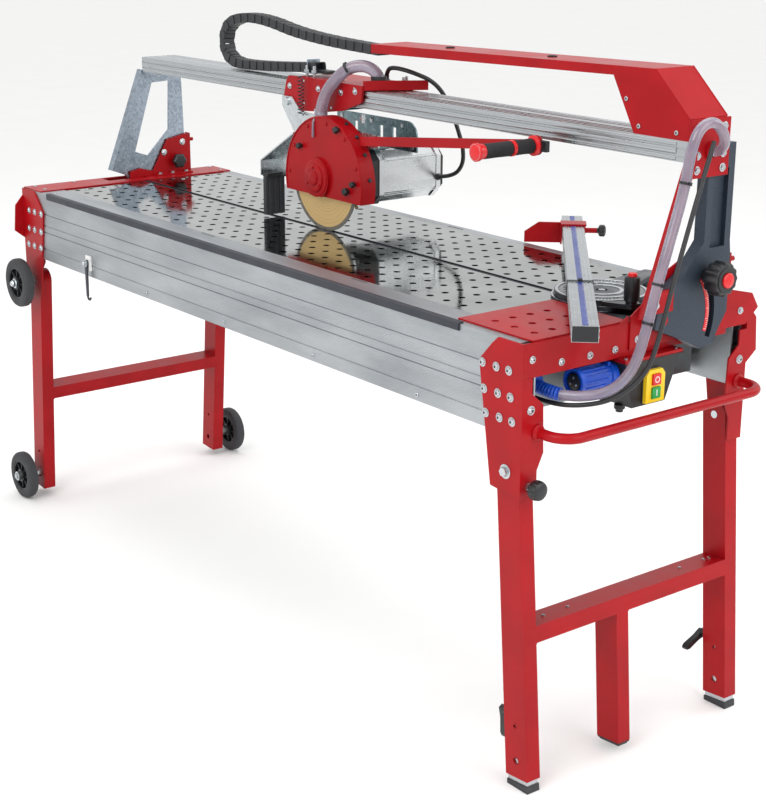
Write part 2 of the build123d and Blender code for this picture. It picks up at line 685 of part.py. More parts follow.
def make_head():
    outline = [
        (-256, 1180),
        (-214, 1180),
        (-180, 1150),
        (0, 1140),
        (60, 1126),
        (128, 1124),
        (128, 1098),
        (60, 1085),
        (26, 1040),
        (26, 944),
        (-130, 944),
        (-158, 1040),
        (-256, 1156),
    ]
    head = plate_y(outline, (21, 25))
    head += rod_y(HEAD_PIVOT[0], HEAD_PIVOT[1], (17, 33), 6)
    head += rod_y(HEAD_PIVOT[0], HEAD_PIVOT[1], (16, 21), 10)
    head -= rod_y(SPINDLE[0], SPINDLE[1], (15, 30), 14)

    slotted = block((-200, 112), (146, 150), (1073, 1143))
    slotted = fillet(slotted.edges().filter_by(Axis.Y).group_by(Axis.X)[-1].group_by(Axis.Z)[-1], 36)
    for x in (-130, -30, 20):
        slotted -= block((x, x + 14), (140, 160), (1093, 1123))
    slotted += block((-110, 10), (96, 146), (1073, 1078))

    save("head_plate", group(head, slotted))

    def octagon(half_x, half_z, cut, y):
        x, z = -50, 1006
        points = []
        for sx, sz, flip in ((1, 1, 0), (1, -1, 1), (-1, -1, 0), (-1, 1, 1)):
            near = (x + sx * (half_x - cut), z + sz * half_z)
            far = (x + sx * half_x, z + sz * (half_z - cut))
            points += [far, near] if flip else [near, far]
        return plate_y(points, y)

    motor = octagon(72, 66, 14, (25, 110))
    motor -= rod_y(SPINDLE[0], SPINDLE[1], (24, 62), 10 + RUNNING)
    save("motor", group(motor, octagon(68, 64, 24, (110, 309))))

    def dome(radius, y, bottom):
        disc = rod_y(GUARD_CENTRE[0], GUARD_CENTRE[1], y, radius)
        return disc - block((-400, 400), (y[0] - 1, y[1] + 1), (700, bottom))

    guard = dome(GUARD_RADIUS, (GUARD_FRONT, GUARD_BACK), 968)
    guard -= dome(GUARD_RADIUS - 3, (GUARD_FRONT + 3, GUARD_BACK - 3), 960)
    boss = rod_y(SPINDLE[0], SPINDLE[1], (GUARD_FRONT - 8, GUARD_FRONT), 48)
    guard += boss - block((-400, 400), (-60, 60), (700, 968))
    guard -= rod_y(SPINDLE[0], SPINDLE[1], (GUARD_BACK - 4, GUARD_BACK + 1), 22)
    save("blade_guard", guard)

    blade = rod_y(SPINDLE[0], SPINDLE[1], (-BLADE_THICKNESS / 2, BLADE_THICKNESS / 2), BLADE_RADIUS)
    save("blade", blade - rod_y(SPINDLE[0], SPINDLE[1], (-5, 5), 10 + RUNNING))
    arbor = rod_y(SPINDLE[0], SPINDLE[1], (-14, 58), 10)
    arbor += rod_y(SPINDLE[0], SPINDLE[1], (BLADE_THICKNESS / 2, 8), 36)
    arbor += rod_y(SPINDLE[0], SPINDLE[1], (-8, -BLADE_THICKNESS / 2), 36)
    save("spindle_flanges", arbor)

    roof = [(-152, 1105), (-296, 1022), (-296, 984), (-293, 984), (-293, 1020), (-152, 1101.5)]
    hood = plate_y(roof, (-19, 20))
    side = [(-293, 984), (-293, 1020), (-152, 1102), (-170, 1080), (-188, 1040), (-192, 1003), (-192, 984)]
    hood += plate_y(side, (17.5, 20))
    save("splash_hood", hood)
    save("splash_flap", block((-272, -258), (-28, 28), (890, 983.5)))


def make_handle():
    bar = [(92, 1100), (92, 1121), (655, 1180), (655, 1159)]
    handle = plate_y(bar, (-3, 3))
    handle += block((92, 126), (-3, 21), (1104, 1118))
    handle += rod_y(671, 1170, (-3, 3), 20)
    handle += rod_y(671, 1170, (-161, 9), 8)
    handle += rod_y(671, 1170, (-161, -155), 16)
    save("plunge_handle", handle)
    grip = rod_y(671, 1170, (-154.7, -3.3), 15.5) - rod_y(671, 1170, (-160, 0), 8.3)
    save("handle_grip", grip)


# ---- angle fence ---------------------------------------------------------------------------------
def make_fence():
    rest = (TABLE_TOP + 0.3, 889.5)
    scale = rod_z(FENCE_PIVOT[0], FENCE_PIVOT[1], rest, 100)
    scale += rod_z(FENCE_PIVOT[0], FENCE_PIVOT[1], (rest[0], 896), 12)
    save("protractor_plate", scale)

    place = Pos(FENCE_START[0], FENCE_START[1], 0) * Rot(0, 0, FENCE_HEADING)
    half = FENCE_WIDTH / 2
    bar = block((0, FENCE_LENGTH), (-half, half), (FENCE_BOTTOM, FENCE_TOP))
    for y in ((-half + 3, -3), (3, half - 3)):
        bar -= block((-1, FENCE_LENGTH + 1), y, (FENCE_BOTTOM + 3, FENCE_TOP - 3))
    save("fence_bar", place * bar)

    disc = rod_z(FENCE_PIVOT[0], FENCE_PIVOT[1], (889.8, FENCE_BOTTOM), 94)
    disc -= rod_z(FENCE_PIVOT[0], FENCE_PIVOT[1], (880, FENCE_BOTTOM + 1), 12 + RUNNING)
    reach = plate_z([(870, 60), (780, 256), (752, 246), (790, 60)], (891, FENCE_BOTTOM))
    disc += reach
    disc += rod_z(944, 7, (889.8, 951), 11.5)
    disc += plate_z([(900, -30), (956, -5), (956, 19), (890, 60)], (891, FENCE_BOTTOM))
    save("fence_swivel", disc)

    along = 917.0
    stop = block((along - 22, along + 22), (-half - 6, half + 3), (FENCE_TOP + 0.3, FENCE_TOP + 4.5))
    stop += block((along - 22, along + 22), (-half - 4, -half - 0.4), (905, FENCE_TOP + 4.5))
    stop += block((along - 22, along + 22), (half + 0.4, half + 4), (888, FENCE_TOP + 4.5))
    arm = [(half + 4, 888), (110, 888), (110, 912), (78, FENCE_TOP + 4.5), (half + 4, FENCE_TOP + 4.5)]
    stop += plate_x(arm, (along - 3, along + 3))
    stop += rod((along, -half - 3.5, 917), (along, -half - 30, 917), 6)
    save("fence_stop", place * stop)


# ---- hoses and cables ----------------------------------------------------------------------------
MAIN_HOSE = [
    (1052, 93, 1196),
    (1074, 91, 1201),
    (1091, 74, 1232),
    (1094, 38, 1262),
    (1090, 2, 1250),
    (1086, -12, 1202),
    (1084, -18, 1146),
    (1084, -46, 1060),
    (1084, -76, 973),
    (1084, -100, 890),
    (1082, -122, 826),
    (1068, -160, 784),
    (1032, -212, 773),
    (977, -240, 776),
    (918, -238, 785),
]
POWER_CABLE = [
    (1104, 30, 1226),
    (1106, -2, 1146),
    (1106, -32, 1058),
    (1106, -62, 968),
    (1105, -85, 884),
    (1100, -110, 812),
    (1072, -162, 768),
    (1032, -216, 757),
    (972, -238, 754),
    (902, -232, 755),
]
WATER_HOSE = [
    (61, 75, 1234.5),
    (60, 74, 1256),
    (34, 52, 1274),
    (4, 26, 1265),
    (-26, 7, 1232),
    (-52, 0, 1198),
    (-66, 0, 1159),
]
MOTOR_CABLE = [
    (44, 106, 1232.5),
    (52, 104, 1256),
    (88, 88, 1272),
    (136, 108, 1264),
    (158, 166, 1237),
    (150, 218, 1174),
    (134, 252, 1120),
    (124, 278, 1076),
    (108, 292, 1030),
    (70, 292, 998),
    (19, 290, 992),
]


def make_cords():
    save("main_hose", tube("main_hose", MAIN_HOSE, 10))
    save("power_cable", tube("power_cable", POWER_CABLE, 4.5))
    save("water_hose", tube("water_hose", WATER_HOSE, 14))
    save("motor_cable", tube("motor_cable", MOTOR_CABLE, 5))


def build():
    make_table()
    make_tank()
    make_aprons()
    make_brackets()
    make_bolts()
    make_legs()
    make_feet()
    make_levers()
    make_wheels()
    make_lock_knob()
    make_hook()
    make_push_handle()
    make_switch_box()
    make_tilt_supports()
    make_left_stand()
    make_right_stand()
    make_beam()
    make_chain()
    make_carriage()
    make_head()
    make_handle()
    make_fence()
    make_cords()


build()
os.makedirs("parts", exist_ok=True)
for old in os.listdir("parts"):
    os.remove(os.path.join("parts", old))
for node, shape in parts.items():
    export_step(shape, f"parts/{node}.step")
print(len(parts), "nodes")
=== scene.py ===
import math

import bmesh
import bpy
from mathutils import Matrix, Vector


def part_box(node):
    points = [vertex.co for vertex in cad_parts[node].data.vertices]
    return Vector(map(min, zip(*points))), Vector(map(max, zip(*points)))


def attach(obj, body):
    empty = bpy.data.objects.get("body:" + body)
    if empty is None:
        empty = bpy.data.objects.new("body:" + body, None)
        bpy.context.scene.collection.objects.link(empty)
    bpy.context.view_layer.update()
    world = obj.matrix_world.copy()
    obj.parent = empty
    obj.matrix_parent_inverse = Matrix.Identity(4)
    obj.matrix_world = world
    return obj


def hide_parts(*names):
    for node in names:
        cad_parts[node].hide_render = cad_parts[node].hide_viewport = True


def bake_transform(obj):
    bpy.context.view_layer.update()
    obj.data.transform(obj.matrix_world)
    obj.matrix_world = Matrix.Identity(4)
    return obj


bl_info = {
    "name": "Wet tile saw",
    "version": (1, 0, 0),
    "blender": (4, 5, 0),
    "location": "View3D > Sidebar > Tile saw",
    "description": "Dresses the tile saw's frame with its finishes and its fine pieces",
    "category": "Object",
}

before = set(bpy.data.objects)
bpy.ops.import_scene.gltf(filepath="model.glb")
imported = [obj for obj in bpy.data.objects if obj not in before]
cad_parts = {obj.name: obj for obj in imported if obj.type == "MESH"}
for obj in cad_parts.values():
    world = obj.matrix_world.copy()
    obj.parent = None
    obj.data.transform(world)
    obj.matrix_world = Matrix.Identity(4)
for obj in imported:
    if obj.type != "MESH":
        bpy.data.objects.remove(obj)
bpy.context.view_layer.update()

MM = 0.001
RAIL_LOW, RAIL_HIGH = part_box("front_side_profile")
BLADE_LOW, BLADE_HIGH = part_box("blade")
MIDDLE_X = (RAIL_LOW.x + RAIL_HIGH.x) / 2
CUT_Y = (BLADE_LOW.y + BLADE_HIGH.y) / 2
HOME = Matrix.Translation((MIDDLE_X, CUT_Y, 0)) @ Matrix.Scale(MM, 4)

FRONT_FACE = -321.0
REAR_FACE = 279.0
TABLE_TOP = 885.0
GUARD_FACE = -19.0
GUARD_CENTRE = (-32.0, 1003.0)
SPINDLE = (-50.0, 1010.0)
FENCE_START = (1097.0, -267.0)
FENCE_HEADING = 137.3
FENCE_LENGTH = 1022.0
FENCE_PIVOT = (830.0, 41.0)
RIGHT_PIVOT = (965.0, 636.0)
RIGHT_SPLAY = 4.71
LEFT_PIVOT = (-965.0, 635.0)
LEFT_SPLAY = 4.95
CLAMP_AXIS = (107.8, 957.7)
CARRIAGE_FRONT = 26.0
CARRIAGE_TOP = 1230.0
MOTOR_AXIS = (-50.0, 1006.0)
WHEEL_MIDDLE = -21.0
WHEEL_REACH = 345.0
WHEEL_DROP = 571.0

# Finishes and colour slot of the small pieces that share them.
ZINC = (["zinc_plated_steel"], "steel_hardware")
# Its black slot colours only the screws' sockets: painted shade standing in for their recesses.
ZINC_AND_SOCKET_SHADE = (["zinc_plated_steel", "moulded_black_abs"], "steel_hardware")
BLACK = (["moulded_black_abs"], "black_plastic")
BLUE = (["blue_polyamide"], "blue_plastic")
RED = (["red_abs"], "red_plastic")
COATED = (["red_powder_coat"], "red_powder")


# ---- places and shapes -----------------------------------------------------------------------------
def at(x, y, z):
    """A place in metres, from millimetres along the table, behind the cut line and above the floor."""
    return HOME @ Vector((x, y, z))


def facing_x(x=0.0):
    """A drawing plane whose outline is (y, z) and whose thickness runs along +X from x."""
    axes = Matrix(((0, 0, 1, x), (1, 0, 0, 0), (0, 1, 0, 0), (0, 0, 0, 1)))
    return HOME @ axes


def facing_y(y=0.0):
    """A drawing plane whose outline is (x, z) and whose thickness runs along +Y from y."""
    axes = Matrix(((1, 0, 0, 0), (0, 0, 1, y), (0, 1, 0, 0), (0, 0, 0, 1)))
    return HOME @ axes


def facing_z(z=0.0):
    """A drawing plane whose outline is (x, y) and whose thickness runs up from z."""
    return HOME @ Matrix.Translation((0, 0, z))


def pointing(place, direction, turn=0.0):
    """A plane at place (mm) whose thickness runs along direction."""
    aim = Vector(direction).to_track_quat("Z", "Y").to_matrix().to_4x4()
    return HOME @ Matrix.Translation(place) @ aim @ Matrix.Rotation(math.radians(turn), 4, "Z")


def along_leg(pivot, splay):
    """A leg pair's own frame: its origin on the pivot and -Z down the leg."""
    return HOME @ Matrix.Translation((pivot[0], 0, pivot[1])) @ Matrix.Rotation(math.radians(splay), 4, "Y")


def along_fence():
    """The fence's own frame: x along the bar from its operator's end, y across it."""
    place = Matrix.Translation((FENCE_START[0], FENCE_START[1], 0))
    return HOME @ place @ Matrix.Rotation(math.radians(FENCE_HEADING), 4, "Z")


def skin(bm, rings, finish=0, closed=False):
    """Faces from each ring of points to the next. Closed joins last to first; otherwise both are capped."""
    faces = [] if closed else [bm.faces.new(rings[0][::-1]), bm.faces.new(rings[-1])]
    for low, high in zip(rings, rings[1:] + (rings[:1] if closed else [])):
        for i, corner in enumerate(low):
            j = (i + 1) % len(low)
            faces.append(bm.faces.new((corner, low[j], high[j], high[i])))
    for face in faces:
        face.material_index = finish


def prism(bm, outline, span, plane, finish=0):
    """An outline in a plane (mm), thickened from span[0] to span[1]."""
    skin(bm, [[bm.verts.new(plane @ Vector((u, v, w))) for u, v in outline] for w in span], finish)


def block(bm, x, y, z, plane=None, finish=0):
    """A box from three (low, high) pairs in mm."""
    outline = [(x[0], y[0]), (x[1], y[0]), (x[1], y[1]), (x[0], y[1])]
    prism(bm, outline, z, plane or HOME, finish)


def turned(bm, profile, plane, steps=32, finish=0, lobes=0, depth=0.0):
    """A lathed form round the plane's thickness axis. profile is (radius, height) pairs in mm.

    With lobes, the widest rings wave in and out by depth, as on a hand knob."""
    widest = max(radius for radius, _ in profile)
    rings = []
    for radius, height in profile:
        ring = []
        for i in range(steps):
            angle = 2 * math.pi * i / steps
            wave = 1 - depth * (0.5 - 0.5 * math.cos(lobes * angle)) if radius > widest * 0.7 else 1
            spot = Vector((radius * wave * math.cos(angle), radius * wave * math.sin(angle), height))
            ring.append(bm.verts.new(plane @ spot))
        rings.append(ring)
    skin(bm, rings, finish)


def revolved(bm, section, plane, steps, finish=0):
    """A closed section of (radius, height) pairs in mm, turned round the plane's thickness axis."""
    turns = [2 * math.pi * i / steps for i in range(steps)]
    rings = []
    for radius, height in section:
        spots = [Vector((radius * math.cos(a), radius * math.sin(a), height)) for a in turns]
        rings.append([bm.verts.new(plane @ spot) for spot in spots])
    skin(bm, rings, finish, closed=True)


def ring_band(bm, outer, inner, heights, plane, steps=48, finish=0):
    """A washer: a band between two radii and two heights."""
    low, high = heights
    revolved(bm, [(outer, low), (outer, high), (inner, high), (inner, low)], plane, steps, finish)


def on_circle(centre, radius, degrees):
    """The two coordinates of a point on a circle."""
    angle = math.radians(degrees)
    return centre[0] + radius * math.cos(angle), centre[1] + radius * math.sin(angle)


def tube(bm, path, radius, steps=16, finish=0, ridge=0.0, pitch=0.0):
    """A tube in metres along a path of points, with even ridges where ridge and pitch are given."""
    rings = []
    side = None
    travelled = 0.0
    for i, here in enumerate(path):
        before = path[max(i - 1, 0)]
        after = path[min(i + 1, len(path) - 1)]
        ahead = (after - before).normalized()
        side = (side or ahead.orthogonal()).cross(ahead).cross(ahead).normalized() * -1
        up = ahead.cross(side)
        travelled += (here - before).length
        size = radius + (ridge * math.cos(2 * math.pi * travelled / pitch) if pitch else 0)
        ring = []
        for k in range(steps):
            angle = 2 * math.pi * k / steps
            ring.append(bm.verts.new(here + (side * math.cos(angle) + up * math.sin(angle)) * size))
        rings.append(ring)
    skin(bm, rings, finish)


def hex_bolt(bm, place, direction, radius=6.5, height=4.5, finish=0):
    """A washer and a chamfered hexagon head."""
    plane = pointing(place, direction)
    turned(bm, [(radius * 1.35, 0), (radius * 1.35, 1.2), (radius * 1.2, 1.5)], plane, 24, finish)
    turned(bm, [(radius, 1.2), (radius, height), (radius * 0.86, height + 0.9)], plane, 6, finish)


def socket_screw(bm, place, direction, radius=5.0, height=5.0, finish=0, socket=1):
    """A round head with a dark hexagon laid on it, painted shade in place of the socket's recess."""
    plane = pointing(place, direction)
    turned(bm, [(radius, 0), (radius, height - 0.6), (radius - 0.6, height)], plane, 24, finish)
    # The socket is a flat dark hexagon just above the head: painted shade for the recess, not a hole.
    turned(bm, [(radius * 0.5, height - 0.5), (radius * 0.5, height + 0.05)], plane, 6, socket)


def piece(name, bm, finishes, slot, body, replaces=(), bevel=0.0, smooth=35.0, ridden=True):
    """Turns the drawn mesh into a named piece with its finishes, and puts it on its body."""
    bmesh.ops.recalc_face_normals(bm, faces=bm.faces)
    mesh = bpy.data.meshes.new(name)
    bm.to_mesh(mesh)
    bm.free()
    for finish in finishes:
        mesh.materials.append(bpy.data.materials[finish])
    mesh.shade_smooth()
    mesh.set_sharp_from_angle(angle=math.radians(smooth))
    made = bpy.data.objects.new(name, mesh)
    bpy.context.scene.collection.objects.link(made)
    if bevel:
        rounding = made.modifiers.new("edge", "BEVEL")
        rounding.width = bevel * MM
        rounding.segments = 2
        rounding.limit_method = "ANGLE"
        rounding.angle_limit = math.radians(40)
    if replaces:
        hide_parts(*replaces)
    if ridden:
        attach(made, body)
    return made


def smooth_line(route):
    """Points in metres along a smooth curve that has the route (mm) as its control points."""
    data = bpy.data.curves.new("line", "CURVE")
    data.dimensions = "3D"
    data.resolution_u = 14
    spline = data.splines.new("NURBS")
    spline.points.add(len(route) - 1)
    for point, place in zip(spline.points, route):
        point.co = (*at(*place), 1)
    spline.order_u = 3
    spline.use_endpoint_u = True
    carrier = bpy.data.objects.new("line", data)
    bpy.context.scene.collection.objects.link(carrier)
    bpy.context.view_layer.update()
    mesh = bpy.data.meshes.new_from_object(carrier)
    points = [vertex.co.copy() for vertex in mesh.vertices]
    bpy.data.objects.remove(carrier)
    bpy.data.meshes.remove(mesh)
    return points


def evenly(points, step):
    """The line's points again, a fixed step apart in metres, with the last point kept."""
    placed = [points[0]]
    left = step
    for before, after in zip(points, points[1:]):
        run = (after - before).length
        while run >= left:
            before = before + (after - before).normalized() * left
            run -= left
            left = step
            placed.append(before.copy())
        left -= run
    if (placed[-1] - points[-1]).length > step * 0.3:
        placed.append(points[-1])
    return placed


# ---- finishes --------------------------------------------------------------------------------------
def linear(colour):
    """An sRGB hex colour as a linear RGBA value."""
    channels = [int(colour[i:i + 2], 16) / 255 for i in (1, 3, 5)]
    return [c / 12.92 if c <= 0.04045 else ((c + 0.055) / 1.055) ** 2.4 for c in channels] + [1.0]


def add(tree, kind, inputs=(), **settings):
    """Adds a node. inputs maps each socket to a value or to another node's output."""
    node = tree.nodes.new("ShaderNode" + kind)
    for key, value in settings.items():
        setattr(node, key, value)
    for key, value in dict(inputs).items():
        if isinstance(value, bpy.types.NodeSocket):
            tree.links.new(value, node.inputs[key])
        else:
            node.inputs[key].default_value = value
    return node


def new_finish(name, **fixed):
    """An empty material with a Principled shader, whose fixed inputs are set on its own sockets."""
    made = bpy.data.materials.new(name)
    made.use_nodes = True
    tree = made.node_tree
    tree.nodes.clear()
    shader = add(tree, "BsdfPrincipled", {key.replace("_", " "): value for key, value in fixed.items()})
    output = add(tree, "OutputMaterial")
    tree.links.new(shader.outputs[0], output.inputs[0])
    return tree, shader


def spread(tree, size_mm, stretch=(1, 1, 1), detail=3.0, kind="TexNoise", **settings):
    """A pattern whose features are size_mm across, drawn out along the axes by stretch."""
    place = add(tree, "TexCoord")
    scale = [1000 / size_mm / s for s in stretch]
    mapped = add(tree, "Mapping", {"Vector": place.outputs["Object"], "Scale": scale})
    inputs = {"Vector": mapped.outputs[0], "Scale": 1.0}
    if kind == "TexNoise":
        inputs["Detail"] = detail
    return add(tree, kind, inputs, **settings)


def blended(tree, factor, first, second):
    """A colour that goes from one hex value to the other with factor."""
    mixed = add(tree, "Mix", {0: factor, 6: linear(first), 7: linear(second)}, data_type="RGBA")
    return mixed.outputs[2]


def ranged(tree, value, low, high, start=0.0, end=1.0):
    """A value spread from low to high while it goes from start to end."""
    inputs = {"Value": value, "From Min": start, "From Max": end, "To Min": low, "To Max": high}
    return add(tree, "MapRange", inputs).outputs[0]


def relief(tree, shader, height, depth_mm, below=None):
    """Gives the shader a bump of depth_mm from a height between 0 and 1."""
    inputs = {"Height": height, "Distance": depth_mm * MM, "Strength": 1.0}
    if below:
        inputs["Normal"] = below.outputs[0]
    bump = add(tree, "Bump", inputs)
    tree.links.new(bump.outputs[0], shader.inputs["Normal"])
    return bump


def grained(name, first, second, grain_mm, rough, depth_mm, stretch=(1, 1, 1), **fixed):
    """A finish whose colour, gloss and bump all follow one grain."""
    tree, shader = new_finish(name, **fixed)
    grain = spread(tree, grain_mm, stretch)
    shade = blended(tree, ranged(tree, grain.outputs[0], 0, 1, 0.3, 0.7), first, second)
    tree.links.new(shade, shader.inputs["Base Color"])
    patches = spread(tree, grain_mm * 40, detail=2.0)
    tree.links.new(ranged(tree, patches.outputs[0], rough[0], rough[1], 0.3, 0.7), shader.inputs["Roughness"])
    return tree, shader, relief(tree, shader, grain.outputs[0], depth_mm)


def red_powder_coat(colour):
    """Polyester powder coat on steel, sprayed and baked: fine orange peel that softens the highlights."""
    fixed = {"Coat_Weight": 0.06, "Coat_Roughness": 0.12, "Specular_IOR_Level": 0.16}
    tree, shader = new_finish("red_powder_coat", **fixed)
    peel = spread(tree, 1.6, detail=2.0)
    haze = spread(tree, 90, detail=3.0)
    shade = blended(tree, ranged(tree, haze.outputs[0], 0, 1, 0.35, 0.65), colour, "#A00912")
    tree.links.new(shade, shader.inputs["Base Color"])
    tree.links.new(ranged(tree, haze.outputs[0], 0.30, 0.42, 0.3, 0.7), shader.inputs["Roughness"])
    soft_edge = add(tree, "Bevel", {"Radius": 0.0009}, samples=3)
    relief(tree, shader, peel.outputs[0], 0.08, soft_edge)


def ribbed_anodised_aluminium(colour):
    """Extruded and anodised: close ribs along the length give a hatched, silky grey."""
    tree, shader = new_finish("ribbed_anodised_aluminium", Metallic=1.0)
    place = add(tree, "TexCoord")
    heights = add(tree, "SeparateXYZ", {0: place.outputs["Object"]})
    turns = add(tree, "Math", {0: heights.outputs[2], 1: 2 * math.pi / 0.0032}, operation="MULTIPLY")
    rib = add(tree, "Math", {0: turns.outputs[0]}, operation="SINE")
    drawn = spread(tree, 0.9, (60, 1, 1))
    cloudy = spread(tree, 60, (4, 1, 1))
    shade = blended(tree, ranged(tree, cloudy.outputs[0], 0, 1, 0.3, 0.7), colour, "#B4B8BB")
    tree.links.new(shade, shader.inputs["Base Color"])
    tree.links.new(ranged(tree, drawn.outputs[0], 0.30, 0.50, 0.3, 0.7), shader.inputs["Roughness"])
    height = ranged(tree, rib.outputs[0], 0, 1, -1, 1)
    first = add(tree, "Bump", {"Height": height, "Distance": 0.0003, "Strength": 1.0})
    relief(tree, shader, drawn.outputs[0], 0.02, first)


def smooth_anodised_aluminium(colour):
    """Extruded and anodised without ribs: fine die lines along the bar in a cool silver."""
    along = (80, 1, 1)
    grained("smooth_anodised_aluminium", colour, "#BEC2C5", 0.8, (0.24, 0.34), 0.004, along, Metallic=1.0)


def polished_stainless(colour):
    """Rolled and polished stainless: nearly a mirror, with faint waves and wipe marks."""
    tree, shader = new_finish("polished_stainless", Metallic=1.0)
    wipes = spread(tree, 3, (30, 2, 1))
    waves = spread(tree, 120, detail=1.0)
    shade = blended(tree, ranged(tree, waves.outputs[0], 0, 1, 0.3, 0.7), colour, "#A0A3A1")
    tree.links.new(shade, shader.inputs["Base Color"])
    tree.links.new(ranged(tree, wipes.outputs[0], 0.05, 0.16, 0.35, 0.75), shader.inputs["Roughness"])
    relief(tree, shader, waves.outputs[0], 0.05)


def galvanised_sheet(name, dark, light, spangle_mm):
    """Hot-dip galvanised: zinc crystals, each its own blue-grey and gloss."""
    tree, shader = new_finish(name, Metallic=1.0)
    crystals = spread(tree, spangle_mm, kind="TexVoronoi", feature="F1")
    tone = add(tree, "SeparateColor", {0: crystals.outputs["Color"]})
    drift = spread(tree, spangle_mm * 12)
    mixed = add(tree, "Mix", {0: 0.55, 2: tone.outputs[0], 3: drift.outputs[0]})
    tree.links.new(blended(tree, mixed.outputs[0], dark, light), shader.inputs["Base Color"])
    tree.links.new(ranged(tree, tone.outputs[1], 0.18, 0.40), shader.inputs["Roughness"])
    relief(tree, shader, crystals.outputs["Distance"], 0.02)


def sand_cast_iron(colour):
    """Sand cast and painted: a coarse pebbled skin in dark blue-grey."""
    tree, shader, bump = grained("sand_cast_iron", colour, "#36404D", 1.8, (0.38, 0.55), 0.35, Metallic=0.3)
    pits = spread(tree, 6, detail=4.0)
    relief(tree, shader, pits.outputs[0], 0.3, bump)


def die_cast_aluminium(colour):
    """Die cast: pale silver with a light chalky skin."""
    grained("die_cast_aluminium", colour, "#D9DBDC", 1.2, (0.22, 0.34), 0.010, Metallic=1.0)


def clear_pvc_hose(colour):
    """Extruded PVC tubing: cloudy, lilac-grey, with soft gloss and light through it."""
    fixed = {"Transmission_Weight": 0.55, "IOR": 1.45, "Coat_Weight": 0.5, "Coat_Roughness": 0.06}
    tree, shader = new_finish("clear_pvc_hose", **fixed)
    clouds = spread(tree, 60, detail=1.0)
    shade = blended(tree, ranged(tree, clouds.outputs[0], 0, 1, 0.35, 0.65), colour, "#ADA3B3")
    tree.links.new(shade, shader.inputs["Base Color"])
    tree.links.new(ranged(tree, clouds.outputs[0], 0.14, 0.30, 0.3, 0.7), shader.inputs["Roughness"])
    relief(tree, shader, clouds.outputs[0], 0.1)


def blade_steel(colour):
    """Ground and lacquered steel core: circular grinding lines in a brassy tan."""
    tree, shader = new_finish("blade_steel", Metallic=0.55)
    place = add(tree, "TexCoord")
    centre = at(SPINDLE[0], 0, SPINDLE[1])
    offset = add(tree, "VectorMath", {0: place.outputs["Object"], 1: centre}, operation="SUBTRACT")
    reach = add(tree, "VectorMath", {0: offset.outputs[0]}, operation="LENGTH")
    inputs = {"W": reach.outputs["Value"], "Scale": 900.0, "Detail": 2.0}
    lines = add(tree, "TexNoise", inputs, noise_dimensions="1D")
    shade = blended(tree, ranged(tree, lines.outputs[0], 0, 1, 0.3, 0.7), colour, "#EACB93")
    tree.links.new(shade, shader.inputs["Base Color"])
    tree.links.new(ranged(tree, lines.outputs[0], 0.24, 0.38, 0.3, 0.7), shader.inputs["Roughness"])
    relief(tree, shader, lines.outputs[0], 0.03)


def make_finishes(tones):
    """Every finish on the machine, from the colours a user may change."""
    red_powder_coat(tones.coat)
    ribbed_anodised_aluminium(tones.rail)
    smooth_anodised_aluminium("#ACB0B3")
    polished_stainless("#8E9190")
    galvanised_sheet("galvanised_stand", "#75808C", "#B2BDC9", 7)
    galvanised_sheet("galvanised_shield", "#5F7278", "#87999D", 9)
    galvanised_sheet("galvanised_hood", "#B9C0C4", "#DFE4E6", 6)
    sand_cast_iron("#232B36")
    die_cast_aluminium("#BDC0C2")
    clear_pvc_hose("#9A90A2")
    blade_steel(tones.blade)
    # Zinc-plated steel: bright, slightly blue, with plating haze.
    grained("zinc_plated_steel", "#A9AEB2", "#CFD3D6", 0.8, (0.20, 0.34), 0.008, Metallic=1.0)
    # Black-oxidised steel: smoky, with polished high spots.
    grained("blued_steel", "#3A3D42", "#55595F", 1.4, (0.22, 0.42), 0.05, Metallic=1.0)
    # Matt stainless for the tank and crossbars: dull grey from its rolled surface.
    grained("matt_stainless", "#6E7274", "#8A8E90", 1.0, (0.35, 0.5), 0.03, (20, 1, 1), Metallic=1.0)
    # Moulded ABS: near black, with a fine spark-eroded grain that breaks the gloss.
    grained("moulded_black_abs", "#101113", "#1B1C1F", 0.7, (0.34, 0.48), 0.06)
    # Polyamide chain links: black, a touch greyer and waxier than ABS.
    grained("chain_polyamide", "#17181B", "#26272B", 0.9, (0.38, 0.52), 0.05)
    # Vulcanised rubber: charcoal, matt, with a dusty bloom.
    grained("wheel_rubber", "#26272A", "#3A3B3E", 2.5, (0.62, 0.8), 0.12)
    # Extruded EPDM strip: dark slate, satin.
    grained("edge_strip_rubber", "#1B1F27", "#272C36", 1.5, (0.4, 0.55), 0.04, (20, 1, 1))
    # Closed-cell foam sleeve: black and soft, with small cells.
    grained("grip_foam", "#121214", "#202124", 1.1, (0.75, 0.9), 0.25)
    # Cable sheath: black PVC with a low sheen.
    grained("cable_sheath", "#141416", "#202023", 2.0, (0.35, 0.5), 0.04)
    # Industrial connector polyamide: strong blue with a moulded satin.
    grained("blue_polyamide", "#0B3FA8", "#1551C4", 1.2, (0.25, 0.36), 0.04)
    # Moulded switch parts: clean saturated plastics.
    grained("yellow_abs", "#E3B90E", "#F0CB22", 1.2, (0.3, 0.4), 0.04)
    grained("green_abs", "#0E8A3C", "#159C49", 1.2, (0.25, 0.36), 0.03)
    grained("red_abs", "#C20F14", "#D31C20", 1.2, (0.25, 0.36), 0.03)
    # Printed blue scale on the fence: a thin satin film.
    grained("scale_film", "#1E2F78", "#2B4290", 2.0, (0.3, 0.4), 0.02)
    # Sintered diamond segments: dark, gritty grey.
    grained("segment_grit", "#5E5B55", "#8A867C", 0.9, (0.5, 0.7), 0.2, Metallic=0.5)
    # Moulded white plastic for small marks.
    grained("white_abs", "#D9DAD8", "#E8E8E6", 1.5, (0.35, 0.45), 0.03)


